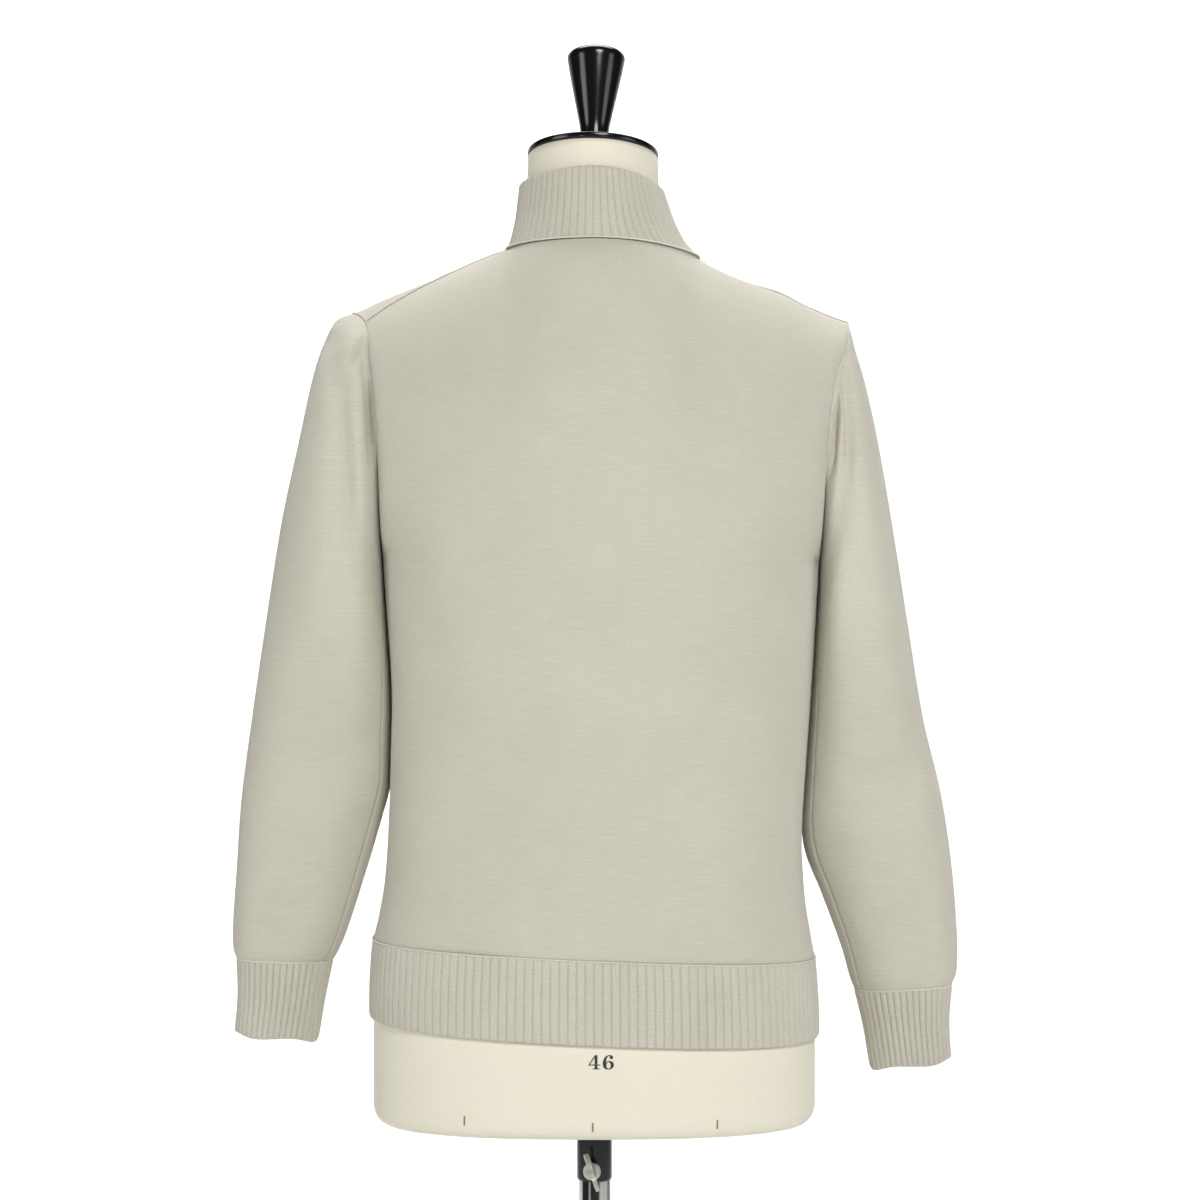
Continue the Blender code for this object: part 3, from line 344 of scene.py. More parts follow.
def grid_uv(points, middle=0.0):
    """UV in metres: across each row from its middle, and up each column."""
    across = np.linalg.norm(np.diff(points, axis=1), axis=2)
    across = np.concatenate((np.zeros((points.shape[0], 1)), np.cumsum(across, axis=1)), axis=1)
    across -= across[:, [int(round(middle * (points.shape[1] - 1)))]]
    up = np.linalg.norm(np.diff(points, axis=0), axis=2)
    up = np.concatenate((np.zeros((1, points.shape[1])), np.cumsum(up, axis=0)), axis=0)
    return np.stack((across, up), axis=-1)


class Paint:
    """Material under construction, with short calls for the nodes that the finishes use."""

    def __init__(self, name, roughness, metallic=0.0):
        self.material = bpy.data.materials.new(name)
        self.material.use_nodes = True
        self.tree = self.material.node_tree
        self.shader = self.tree.nodes["Principled BSDF"]
        self.shader.inputs["Roughness"].default_value = roughness
        self.shader.inputs["Metallic"].default_value = metallic

    def node(self, kind, **sockets):
        made = self.tree.nodes.new(kind)
        for name, value in sockets.items():
            numbered = name[0] == "i" and name[1:].isdigit()
            socket = made.inputs[int(name[1:]) if numbered else name]
            if hasattr(value, "is_output"):
                self.tree.links.new(value, socket)
            else:
                socket.default_value = value
        return made

    def math(self, operation, a, b=0.0):
        made = self.node("ShaderNodeMath", i0=a, i1=b)
        made.operation = operation
        return made.outputs[0]

    def noise(self, vector, scale, detail=2.0, roughness=0.5):
        made = self.node(
            "ShaderNodeTexNoise", Vector=vector, Scale=scale, Detail=detail, Roughness=roughness
        )
        return made.outputs["Fac"]

    def place(self):
        return self.tree.nodes.new("ShaderNodeTexCoord").outputs["Object"]

    def stretch(self, vector, scale):
        made = self.node("ShaderNodeMapping", Vector=vector, Scale=scale)
        return made.outputs[0]

    def colour(self, low, high, factor):
        """Base colour that runs from one colour to another with a factor."""
        made = self.tree.nodes.new("ShaderNodeMix")
        made.data_type = "RGBA"
        made.inputs[6].default_value = (*low, 1.0)
        made.inputs[7].default_value = (*high, 1.0)
        self.tree.links.new(factor, made.inputs[0])
        self.tree.links.new(made.outputs[2], self.shader.inputs["Base Color"])

    def bump(self, height, distance, strength=1.0):
        made = self.node("ShaderNodeBump", Height=height, Distance=distance, Strength=strength)
        self.tree.links.new(made.outputs[0], self.shader.inputs["Normal"])


def cotton(name, low, high):
    """Tight plain-weave cotton cover with a soft unevenness."""
    paint = Paint(name, 0.82)
    paint.shader.inputs["Sheen Weight"].default_value = 0.10
    paint.shader.inputs["Sheen Roughness"].default_value = 0.5
    place = paint.place()
    threads = paint.noise(paint.stretch(place, (900.0, 900.0, 260.0)), 1.0, 2.0)
    weft = paint.noise(paint.stretch(place, (260.0, 260.0, 1300.0)), 1.0, 2.0)
    cloud = paint.noise(place, 14.0, 3.0)
    grain = paint.math("ADD", paint.math("MULTIPLY", threads, 0.5), paint.math("MULTIPLY", weft, 0.5))
    shade = paint.math("ADD", paint.math("MULTIPLY", grain, 0.75), paint.math("MULTIPLY", cloud, 0.25))
    paint.colour(low, high, shade)
    paint.bump(grain, 0.00025, 0.5)
    return paint.material


FORM_BOTTOM, FOLD_SHARE = 0.7982, 0.75
FORM_STEPS, NECK_STEPS = 66, 30
COTTON = cotton("form_cotton", (0.690, 0.652, 0.520), (0.790, 0.756, 0.630))


def half_ring(side, face, make):
    """Points from the middle of a face to one side, in order of column."""
    column = np.linspace(0.0, 1.0, FORM_STEPS + 1)
    return make(side, face, column)


def whole_ring(make):
    """Closed ring of the form, from the back's middle round the left to the start."""
    quarters = (
        half_ring(LEFT, BACK, make)[:-1],
        half_ring(LEFT, FRONT, make)[::-1][:-1],
        half_ring(RIGHT, FRONT, make)[:-1],
        half_ring(RIGHT, BACK, make)[::-1],
    )
    return np.concatenate(quarters)


def trunk_ring(level, shrink=0.0):
    def make(side, face, column):
        share = column_share(side, column, True)
        points = section_point(side, face, share, np.full_like(share, level), True)
        half, deep = BODY["left"](level), BODY["back"](level)
        return points * np.array((1.0 - shrink / half, 1.0 - shrink / deep, 1.0))

    return whole_ring(make)


def yoke_ring(height):
    return whole_ring(lambda side, face, column: body_point(side, face, column, height, 0.0, True))


def neck_ring(up):
    """Ring of the form's neck; its top is cut on a slope to the front."""
    turn = np.linspace(0.0, 360.0, 4 * NECK_STEPS + 1)
    points = ring_point(FORM_NECK, up, turn) if up > 0.0 else neck_edge(turn, True)
    if up == 1.0:
        rise = NECK_TOP_SLOPE * (points[:, 1] - NECK_MIDDLE) + NECK_TOP_ROLL * points[:, 0]
        points[:, 2] = FORM_NECK["z_left"](1.0) + rise
    return points


def fold_radius(z, radius=0.016, start=FORM_BOTTOM):
    """How far the cover draws in where it is turned under the bottom edge."""
    return radius - math.sqrt(max(radius**2 - (radius - min(z - start, radius)) ** 2, 0.0))


rings = [trunk_ring(FORM_BOTTOM) * np.array((0.0, 0.0, 1.0))]
rings.append(trunk_ring(FORM_BOTTOM, 0.110))
for z in (0.0001, 0.0006, 0.0015, 0.003, 0.005, 0.008, 0.012, 0.016):
    rings.append(trunk_ring(FORM_BOTTOM + z, fold_radius(FORM_BOTTOM + z) * FOLD_SHARE))
rings += [trunk_ring(level) for level in np.linspace(0.828, ARMPIT_LEVEL, 30)]
rings += [yoke_ring(1.0 + i / 20) for i in range(1, 21)]
points = np.array(rings)
form = cloth_mesh("form_cover", points, grid_uv(points), (0.0, 0.0, 1.15), closed=True)
points = np.array([neck_ring(up) for up in np.append(0.0, np.linspace(0.06, 1.0, 24))])
points = np.concatenate((points, mix(points[-1:], points[-1:].mean(axis=1, keepdims=True), 1.0)))
neck = cloth_mesh("form_neck", points, grid_uv(points), (0.0, NECK_MIDDLE, 1.53), closed=True)
bm = bmesh.new()
bm.from_mesh(form.data)
bm.from_mesh(neck.data)
bmesh.ops.remove_doubles(bm, verts=bm.verts, dist=0.00005)
bm.to_mesh(form.data)
bm.free()
bpy.data.objects.remove(neck, do_unlink=True)
form.data.materials.append(COTTON)
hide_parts("form_torso")
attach(form, "root")

# --- Size numeral and tack marks ------------------------------------------------------
# The form's size is printed in black ink below the hem, and the cover is tacked along
# its bottom edge with three staples.
FOUR = (
    ((0.0, 0.27), (0.0, 0.34), (0.44, 1.0), (0.62, 1.0), (0.62, 0.34), (0.82, 0.34), (0.82, 0.27),
     (0.62, 0.27), (0.62, 0.08), (0.76, 0.06), (0.76, 0.0), (0.28, 0.0), (0.28, 0.06), (0.42, 0.08),
     (0.42, 0.27)),
    ((0.09, 0.34), (0.42, 0.34), (0.42, 0.83)),
)
SIX = (
    ((0.74, 0.84), (0.70, 0.94), (0.58, 1.0), (0.42, 1.0), (0.26, 0.94), (0.12, 0.80), (0.03, 0.60),
     (0.0, 0.40), (0.03, 0.20), (0.12, 0.07), (0.26, 0.0), (0.42, -0.01), (0.58, 0.02), (0.71, 0.11),
     (0.78, 0.24), (0.79, 0.36), (0.73, 0.49), (0.61, 0.57), (0.47, 0.59), (0.34, 0.56), (0.24, 0.49),
     (0.25, 0.62), (0.29, 0.78), (0.36, 0.89), (0.45, 0.94), (0.53, 0.94), (0.49, 0.88), (0.49, 0.80),
     (0.55, 0.73), (0.65, 0.72), (0.72, 0.77)),
    ((0.26, 0.28), (0.30, 0.12), (0.38, 0.05), (0.47, 0.06), (0.55, 0.16), (0.56, 0.32), (0.51, 0.46),
     (0.42, 0.52), (0.33, 0.48), (0.27, 0.38)),
)
NUMERAL_HEIGHT = 0.0114
NUMERAL_PLACE = (-0.0058, 0.8562)
INK_THICK = 0.00008
TACKS = ((0.1040, 0.8133), (0.0012, 0.8098), (-0.0985, 0.8105))
TACK_SIZE = (0.0013, 0.0008, 0.0078)

ink = Paint("black_ink", 0.6)
ink.colour((0.012, 0.012, 0.011), (0.045, 0.045, 0.040), ink.noise(ink.place(), 2500.0, 3.0))
brass = Paint("dull_wire", 0.45, 0.7)
brass.colour((0.20, 0.18, 0.09), (0.34, 0.31, 0.18), brass.noise(brass.place(), 900.0))


def laid_on_form(mesh, offset):
    """Lays a flat mesh, drawn in X and Z, on the back of the form."""
    for vert in mesh.vertices:
        x, z = vert.co.x, vert.co.z
        half = BODY["left"](z) - EASE["side"](z)
        share = abs(x) / half
        point = section_point(LEFT if x >= 0 else RIGHT, BACK, share, np.float64(z), True)
        drawn_in = fold_radius(z) * FOLD_SHARE
        vert.co.y = point[1] * (1.0 - drawn_in / BODY["back"](z)) + offset + vert.co.y


lettering = bpy.data.curves.new("numeral", "CURVE")
lettering.dimensions = "2D"
lettering.fill_mode = "BOTH"
lettering.extrude = INK_THICK
for figure, shift in ((FOUR, -0.90), (SIX, 0.08)):
    for outline in figure:
        loop = lettering.splines.new("POLY")
        loop.points.add(len(outline) - 1)
        loop.use_cyclic_u = True
        for corner, (x, z) in zip(loop.points, outline):
            corner.co = ((x + shift) * NUMERAL_HEIGHT, z * NUMERAL_HEIGHT, 0.0, 1.0)
holder = bpy.data.objects.new("numeral_curve", lettering)
bpy.context.scene.collection.objects.link(holder)
bpy.context.view_layer.update()
numeral_mesh = bpy.data.meshes.new_from_object(holder.evaluated_get(bpy.context.evaluated_depsgraph_get()))
bpy.data.objects.remove(holder, do_unlink=True)
stand_up = Matrix.Rotation(math.radians(180.0), 4, "Z") @ Matrix.Rotation(math.radians(90.0), 4, "X")
numeral_mesh.transform(Matrix.Translation((NUMERAL_PLACE[0], 0.0, NUMERAL_PLACE[1])) @ stand_up)
laid_on_form(numeral_mesh, 0.00012)
numeral_mesh.name = "size_numeral"
numeral = bpy.data.objects.new("size_numeral", numeral_mesh)
bpy.context.scene.collection.objects.link(numeral)
numeral.data.materials.clear()
numeral.data.materials.append(ink.material)
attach(numeral, "root")

bm = bmesh.new()
for x, z in TACKS:
    tack = bmesh.ops.create_cube(bm, size=1.0)["verts"]
    bmesh.ops.scale(bm, vec=TACK_SIZE, verts=tack)
    bmesh.ops.translate(bm, vec=(x, 0.0, z), verts=tack)
bmesh.ops.bevel(
    bm, geom=bm.edges[:], offset=0.0003, segments=2, profile=0.5, affect="EDGES", material=-1
)
tack_mesh = bpy.data.meshes.new("cover_tacks")
bm.to_mesh(tack_mesh)
bm.free()
laid_on_form(tack_mesh, 0.0002)
tacks = bpy.data.objects.new("cover_tacks", tack_mesh)
bpy.context.scene.collection.objects.link(tacks)
tacks.data.materials.append(brass.material)
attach(tacks, "root")

# --- Neck cap and knob ----------------------------------------------------------------
# Turned wood in black gloss lacquer: a thin oval cap that closes the sloping neck, and
# a flared knob screwed into its middle.
CAP_THICK, CAP_RIM, CAP_GAP = 0.0055, 0.0006, 0.0003
KNOB_OUTLINE = (
    (0.0000, 0.0914), (0.0062, 0.0911), (0.0120, 0.0902), (0.0175, 0.0887), (0.0212, 0.0869),
    (0.0234, 0.0848), (0.0243, 0.0826), (0.0243, 0.0804), (0.0236, 0.0765), (0.0222, 0.0690),
    (0.0198, 0.0570), (0.0177, 0.0470), (0.0156, 0.0370), (0.0137, 0.0280), (0.0123, 0.0200),
    (0.0118, 0.0120), (0.0121, 0.0065), (0.0140, 0.0040), (0.0148, 0.0022), (0.0144, 0.0003),
)
KNOB_X = 0.0004


def lacquer(name, colour, roughness):
    """Sprayed black lacquer: nearly even, with a faint ripple and a few dull spots."""
    paint = Paint(name, roughness)
    paint.shader.inputs["Specular IOR Level"].default_value = 0.38
    place = paint.place()
    paint.colour(colour, tuple(c * 2.2 for c in colour), paint.noise(place, 60.0, 3.0))
    paint.bump(paint.noise(place, 180.0, 2.0), 0.0002, 0.15)
    return paint.material


BLACK = lacquer("black_lacquer", (0.004, 0.004, 0.004), 0.16)


def finish_mesh(name, bm, look, sharp=35.0, replaces=()):
    """Object from a bmesh, smooth but for its sharp edges, riding on the stand."""
    mesh = bpy.data.meshes.new(name)
    bm.to_mesh(mesh)
    bm.free()
    mesh.shade_smooth()
    mesh.set_sharp_from_angle(angle=math.radians(sharp))
    made = bpy.data.objects.new(name, mesh)
    bpy.context.scene.collection.objects.link(made)
    made.data.materials.append(look)
    if replaces:
        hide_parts(*replaces)
    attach(made, "root")


def turn_outline(outline, steps, place=Matrix(), soften=1):
    """Bmesh turned round Z from an outline of radius and height, then put in place."""
    if soften > 1:
        order = np.arange(len(outline))
        fine = np.linspace(0, len(outline) - 1, (len(outline) - 1) * soften + 1)
        radius = smooth_line(order, [r for r, z in outline])(fine)
        height = smooth_line(order, [z for r, z in outline])(fine)
        outline = list(zip(radius, height))
    bm = bmesh.new()
    verts = [bm.verts.new((r, 0.0, z)) for r, z in outline]
    edges = [bm.edges.new(pair) for pair in zip(verts, verts[1:])]
    bmesh.ops.spin(
        bm, geom=verts + edges, cent=(0, 0, 0), axis=(0, 0, 1), angle=2 * math.pi, steps=steps,
        use_merge=True,
    )
    bmesh.ops.remove_doubles(bm, verts=bm.verts, dist=0.00001)
    bmesh.ops.holes_fill(bm, edges=[e for e in bm.edges if e.is_boundary], sides=0)
    bmesh.ops.recalc_face_normals(bm, faces=bm.faces)
    bmesh.ops.transform(bm, matrix=place, verts=bm.verts)
    return bm


def neck_top(x, y):
    return FORM_NECK["z_left"](1.0) + NECK_TOP_SLOPE * (y - NECK_MIDDLE) + NECK_TOP_ROLL * x


bm = bmesh.new()
bmesh.ops.create_circle(bm, cap_ends=True, segments=120, radius=1.0)
for vert in bm.verts:
    turn = math.degrees(math.atan2(vert.co.x, vert.co.y))
    point = Vector(ring_point(FORM_NECK, 1.0, turn))
    out = Vector((point.x, point.y - NECK_MIDDLE, 0.0)).normalized()
    vert.co = point + out * CAP_RIM
    vert.co.z = neck_top(vert.co.x, vert.co.y) + CAP_GAP
top = bmesh.ops.extrude_face_region(bm, geom=bm.faces[:], use_keep_orig=True)["geom"]
bmesh.ops.translate(bm, vec=(0, 0, CAP_THICK), verts=[v for v in top if isinstance(v, bmesh.types.BMVert)])
bmesh.ops.recalc_face_normals(bm, faces=bm.faces)
rims = [e for e in bm.edges if len(e.link_faces) == 2 and e.calc_face_angle() > 1.0]
bmesh.ops.bevel(bm, geom=rims, offset=0.0019, segments=5, profile=0.5, affect="EDGES", material=-1)
finish_mesh("cap_lacquered", bm, BLACK, replaces=("neck_cap",))

square_to_cap = Vector((-NECK_TOP_ROLL, -NECK_TOP_SLOPE, 1.0)).to_track_quat("Z", "Y")
foot = Matrix.Translation((KNOB_X, NECK_MIDDLE, neck_top(KNOB_X, NECK_MIDDLE) + CAP_THICK))
knob = turn_outline(KNOB_OUTLINE, 72, foot @ square_to_cap.to_matrix().to_4x4(), soften=3)
finish_mesh("knob_lacquered", knob, BLACK, 60.0, ("neck_knob",))

# --- Pole, socket, screw and base -----------------------------------------------------
# A chromed steel tube stands in a cast base. The form slides on it with a black socket
# and is held at its height by a winged screw.
POLE_RADIUS, POLE_TOP, POLE_FOOT = 0.0133, 0.7990, 0.0466
SOCKET_OUTLINE = (
    (0.0137, 0.7997), (0.0154, 0.7997), (0.0154, 0.7960), (0.0149, 0.7925), (0.01465, 0.7890),
    (0.01465, 0.7500), (0.0143, 0.7484), (0.0137, 0.7475), (0.0135, 0.7476), (0.0135, 0.7990),
)
SCREW_PLACE = (0.0021, 0.0150, 0.758)
SCREW_OUTLINE = (
    (0.0, 0.0100), (0.0064, 0.0100), (0.0070, 0.0098), (0.0073, 0.0093), (0.0073, 0.0072),
    (0.0070, 0.0067), (0.0064, 0.0065), (0.0043, 0.0063), (0.0038, 0.0050), (0.0038, -0.0006),
    (0.0, -0.0006),
)
WING_LENGTH, WING_WIDE, WING_DEEP, WING_TILT = 0.0320, 0.0044, 0.0086, 17.0
BASE_OUTLINE = (
    (0.0000, 0.0460), (0.0165, 0.0460), (0.0198, 0.0457), (0.0215, 0.0445), (0.0222, 0.0425),
    (0.0228, 0.0330), (0.0236, 0.0240), (0.0262, 0.0196), (0.0320, 0.0172), (0.0420, 0.0160),
    (0.0800, 0.0148), (0.1200, 0.0134), (0.1560, 0.0120), (0.1640, 0.0110), (0.1685, 0.0086),
    (0.1700, 0.0055), (0.1699, 0.0020), (0.1690, 0.0000), (0.0000, 0.0000),
)

# painted reflection: studio bands painted into the tube's colour, as degrees from its back, and brightness
PAINTED_REFLECTION_BANDS = (
    (-90, 0.30), (-56, 0.22), (-50, 0.74), (-22, 0.78), (-15, 0.05), (12, 0.03), (16, 0.55),
    (19, 0.55), (23, 0.02), (46, 0.03), (52, 0.86), (80, 0.80), (90, 0.30),
)
chrome = Paint("chrome", 0.12, 0.6)
parts = chrome.node("ShaderNodeSeparateXYZ", Vector=chrome.place())
turned_by = chrome.math("ARCTAN2", parts.outputs[0], parts.outputs[1])
half_turn = chrome.math("FRACT", chrome.math("ADD", chrome.math("DIVIDE", turned_by, math.pi), 0.5))
painted_reflection = chrome.node("ShaderNodeValToRGB", Fac=half_turn)
ramp = painted_reflection.color_ramp
while len(ramp.elements) < len(PAINTED_REFLECTION_BANDS):
    ramp.elements.new(0.5)
for element, (degrees, bright) in zip(ramp.elements, PAINTED_REFLECTION_BANDS):
    element.position = (degrees + 90.0) / 180.0
    element.color = (bright, bright, bright * 0.97, 1.0)
# the painted reflection bands become the tube's base colour, fixed round its axis
chrome.tree.links.new(painted_reflection.outputs[0], chrome.shader.inputs["Base Color"])
nickel = Paint("dull_nickel", 0.30, 1.0)
nickel.colour((0.46, 0.44, 0.37), (0.62, 0.60, 0.53), nickel.noise(nickel.place(), 300.0, 3.0))
nickel.bump(nickel.noise(nickel.place(), 1400.0, 2.0), 0.0002, 0.2)
IRON = lacquer("black_iron", (0.005, 0.005, 0.006), 0.34)

tube = ((0.0, POLE_TOP), (POLE_RADIUS, POLE_TOP), (POLE_RADIUS, POLE_FOOT), (0.0, POLE_FOOT))
finish_mesh("pole_chromed", turn_outline(tube, 96), chrome.material, replaces=("pole",))
socket = turn_outline(SOCKET_OUTLINE, 96)
finish_mesh("socket_lacquered", socket, BLACK, replaces=("socket",))
finish_mesh("base_cast", turn_outline(BASE_OUTLINE, 128), IRON, replaces=("base",))

outwards = Matrix.Rotation(math.radians(-90.0), 4, "X")
head = turn_outline(SCREW_OUTLINE, 48, Matrix.Translation(SCREW_PLACE) @ outwards)
finish_mesh("screw_head", head, nickel.material, replaces=("thumbscrew",))
bm = bmesh.new()
bmesh.ops.create_cube(bm, size=1.0)
bmesh.ops.scale(bm, vec=(WING_WIDE, WING_DEEP, WING_LENGTH), verts=bm.verts)
long_edges = [e for e in bm.edges if abs((e.verts[0].co - e.verts[1].co).z) > 0.01]
bmesh.ops.subdivide_edges(bm, edges=long_edges, cuts=5)
for vert in bm.verts:
    reach = abs(vert.co.z) / (WING_LENGTH / 2)
    vert.co.x *= 1.0 - 0.16 * reach + (0.0006 * math.copysign(1.0, vert.co.z) / WING_WIDE)
    vert.co.x += 0.0004 * math.copysign(reach, vert.co.z)
    vert.co.y *= 0.62 + 0.38 * math.sin(math.pi * min(reach, 0.9))
bmesh.ops.bevel(
    bm, geom=[e for e in bm.edges if e.calc_face_angle(0.0) > 0.7], offset=0.0008, segments=3,
    profile=0.5, affect="EDGES", material=-1,
)
tilt = Matrix.Rotation(math.radians(WING_TILT), 3, "Y")
bmesh.ops.rotate(bm, cent=(0, 0, 0), matrix=tilt, verts=bm.verts)
wing_place = Vector(SCREW_PLACE) + Vector((0.0, 0.0103 + WING_DEEP / 2 - 0.0015, 0.0))
bmesh.ops.translate(bm, vec=wing_place, verts=bm.verts)
finish_mesh("screw_wings", bm, nickel.material, 50.0, ("thumbscrew_wing",))

# --- Back and fronts ------------------------------------------------------------------
# Three panels of fine wool jersey, knitted plain, each linked to the next along the
# shoulders and sides. The photograph shows the back, nearly smooth over the form.
BAND_HALF = 0.0150
SEAM_GAP = 0.0003
SEAM_DIP, SEAM_DIP_RUN = 0.0008, 0.0018
WALE, COURSE = 0.00150, 0.00115
PANEL_ROWS = 200


def knit(name, dark, light, wale=WALE, course=COURSE, pitch=None, streaks=0.50):
    """Plain knit on the cloth's own UV: rows of V stitches, heather and yarn streaks; with a pitch, painted
    shade darkens the grooves of the ribs.
    """
    paint = Paint(name, 0.88)
    paint.shader.inputs["Sheen Weight"].default_value = 0.22
    paint.shader.inputs["Sheen Roughness"].default_value = 0.45
    paint.shader.inputs["Specular IOR Level"].default_value = 0.25
    flat = paint.node("ShaderNodeUVMap")
    flat.uv_map = "cloth"
    parts = paint.node("ShaderNodeSeparateXYZ", Vector=flat.outputs[0])
    u, v = parts.outputs[0], parts.outputs[1]
    wales = paint.math("DIVIDE", u, wale)
    half_wale = paint.math("FRACT", paint.math("MULTIPLY", wales, 2.0))
    leg = paint.math("SINE", paint.math("MULTIPLY", half_wale, math.pi))
    from_middle = paint.math("ABSOLUTE", paint.math("SUBTRACT", paint.math("FRACT", wales), 0.5))
    slant = paint.math("ADD", paint.math("DIVIDE", v, course), paint.math("MULTIPLY", from_middle, 1.7))
    loop = paint.math("ABSOLUTE", paint.math("SINE", paint.math("MULTIPLY", slant, math.pi)))
    stitch = paint.math("MULTIPLY", leg, paint.math("ADD", paint.math("MULTIPLY", loop, 0.55), 0.45))
    across = paint.stretch(flat.outputs[0], (42.0, 760.0, 1.0))
    streak = paint.noise(across, 1.0, 2.0)
    upright = paint.noise(paint.stretch(flat.outputs[0], (420.0, 30.0, 1.0)), 1.0, 1.0)
    heather = paint.noise(flat.outputs[0], 700.0, 3.0, 0.7)
    cloud = paint.noise(paint.place(), 16.0, 2.0)
    shade = paint.math("ADD", paint.math("MULTIPLY", stitch, 0.34), 0.38)
    for noise, weight in ((streak, streaks), (upright, 0.08), (heather, 0.85), (cloud, 0.26)):
        change = paint.math("MULTIPLY", paint.math("SUBTRACT", noise, 0.5), weight)
        shade = paint.math("ADD", shade, change)
    # painted shade: the colour is darkened in each groove between the ribs
    if pitch:
        phase = paint.math("FRACT", paint.math("DIVIDE", u, pitch))
        side = paint.math("MULTIPLY", paint.math("ABSOLUTE", paint.math("SUBTRACT", phase, 0.5)), 2.0)
        groove_shade = paint.math("POWER", side, 7.0)
        shade = paint.math("SUBTRACT", shade, paint.math("MULTIPLY", groove_shade, 0.28))
    paint.colour(dark, light, shade)
    fuzz = paint.math("ADD", stitch, paint.math("MULTIPLY", heather, 0.5))
    paint.bump(fuzz, 0.00040, 0.55)
    return paint.material


JERSEY = knit("jersey", (0.455, 0.433, 0.352), (0.668, 0.642, 0.543))


def spread(count, low=0.0, high=1.0, crowd=0.6):
    """Steps from low to high that are closer together towards both ends."""
    t = np.linspace(0.0, 1.0, count + 1)
    return mix(low, high, t - crowd * np.sin(2 * np.pi * t) / (2 * np.pi))


def normals(points, middle=(0.0, 0.0)):
    """Directions out of a grid of points, away from an upright axis."""
    normal = np.cross(np.gradient(points, axis=1), np.gradient(points, axis=0))
    normal /= np.maximum(np.linalg.norm(normal, axis=2, keepdims=True), 1e-9)
    away = (points[..., 0] - middle[0]) * normal[..., 0] + (points[..., 1] - middle[1]) * normal[..., 1]
    return normal if away.mean() > 0 else -normal


def crease(points, normal, face, route, depth, width):
    """Rise of a fold that follows a route of X and Z on the back or front of a piece."""
    place = points[..., (0, 2)]
    route = np.array(route, float)
    steps = np.linalg.norm(np.diff(route, axis=0), axis=1)
    run, total = 0.0, steps.sum()
    best, along = np.full(place.shape[:2], 9.0), np.zeros(place.shape[:2])
    for start, stop, step in zip(route, route[1:], steps):
        t = np.clip(((place - start) @ (stop - start)) / step**2, 0.0, 1.0)
        away = np.linalg.norm(place - start - (stop - start) * t[..., None], axis=2)
        along = np.where(away < best, (run + t * step) / total, along)
        best = np.minimum(best, away)
        run += step
    taper = np.sin(np.pi * np.clip(along, 0.04, 0.96)) ** 0.7
    shows = np.clip(normal[..., 1] * face * 3.0, 0.0, 1.0)
    return depth * np.exp(-((best / width) ** 2)) * taper * shows


def press(points, creases, middle=(0.0, 0.0), hold=0.0):
    """Moves a grid of points by its folds, which die out at a seam that holds row 0."""
    normal = normals(points, middle)
    lift = sum(crease(points, normal, *fold) for fold in creases)
    if hold:
        lift *= 1.0 - np.exp(-((grid_uv(points)[..., 1] / hold) ** 2))
    return points + normal * lift[..., None]


def edge_dip(points, middle):
    """Draws row 0 and both sides of a grid inwards, where they are caught in a seam."""
    uv = grid_uv(points)
    across, up = uv[..., 0], uv[..., 1]
    away = np.minimum(np.minimum(across, across[:, -1:] - across), up)
    dip = SEAM_DIP * np.exp(-((away / SEAM_DIP_RUN) ** 2))
    return points - normals(points, middle) * dip[..., None]


def half_columns(inner, outer):
    """Column places from the middle to the side, one of them at the neck point."""
    return np.append(np.linspace(0.0, NECK_PART, inner + 1)[:-1], spread(outer, NECK_PART, 1.0, 0.5))


def panel(face, columns, rows, start=0.0):
    column, height = np.meshgrid(columns, rows)
    left = body_point(LEFT, face, np.abs(column), height, start)
    right = body_point(RIGHT, face, np.abs(column), height, start)
    return np.where((column >= 0.0)[..., None], left, right)


def soften_bend(points, rows, columns, steps=140):
    """Eases the bend of a panel that runs down from each neck point."""
    from_bend = np.abs(np.abs(columns) - NECK_PART) / 0.018
    near = np.exp(-((from_bend / 7.0) ** 2)) * 0.5
    weight = near[None, 1:-1] * np.clip((2.0 - rows) / 0.06, 0.0, 1.0)[:, None]
    for _ in range(steps):
        mean = (points[:, :-2] + points[:, 2:]) / 2.0
        points[:, 1:-1] += (mean - points[:, 1:-1]) * weight[..., None]
    return points


def garment_piece(name, points, uv, look, nodes, centre, thick=WALL, closed=False):
    """Cloth piece with its wall, which stands for its solids and hangs on the form."""
    made = cloth_mesh(name, points, uv, centre, closed)
    made.data.materials.append(look)
    wall = made.modifiers.new("wall", "SOLIDIFY")
    wall.thickness = thick
    wall.offset = -1.0
    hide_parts(*nodes)
    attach(made, "root")


BACK_CREASES = (
    (BACK, ((0.172, 1.345), (0.150, 1.260), (0.112, 1.130)), -0.0022, 0.020),
    (BACK, ((0.150, 1.330), (0.128, 1.240), (0.092, 1.110)), 0.0014, 0.022),
    (BACK, ((-0.180, 1.350), (-0.158, 1.270), (-0.128, 1.120)), -0.0024, 0.021),
    (BACK, ((-0.150, 1.300), (-0.140, 1.200), (-0.110, 1.060)), 0.0015, 0.024),
    (BACK, ((0.105, 0.950), (0.088, 1.060), (0.074, 1.200)), -0.0016, 0.026),
    (BACK, ((0.030, 0.960), (0.018, 1.100), (0.026, 1.260)), 0.0013, 0.030),
    (BACK, ((-0.040, 0.950), (-0.052, 1.080), (-0.048, 1.230)), -0.0016, 0.028),
    (BACK, ((-0.108, 0.950), (-0.100, 1.030), (-0.086, 1.120)), 0.0014, 0.022),
    (BACK, ((0.150, 0.960), (0.140, 1.050), (0.142, 1.150)), 0.0012, 0.016),
    (BACK, ((-0.152, 0.955), (-0.148, 1.060), (-0.158, 1.170)), -0.0013, 0.015),
    (BACK, ((-0.120, 1.460), (-0.075, 1.430), (-0.030, 1.425)), 0.0010, 0.022),
)
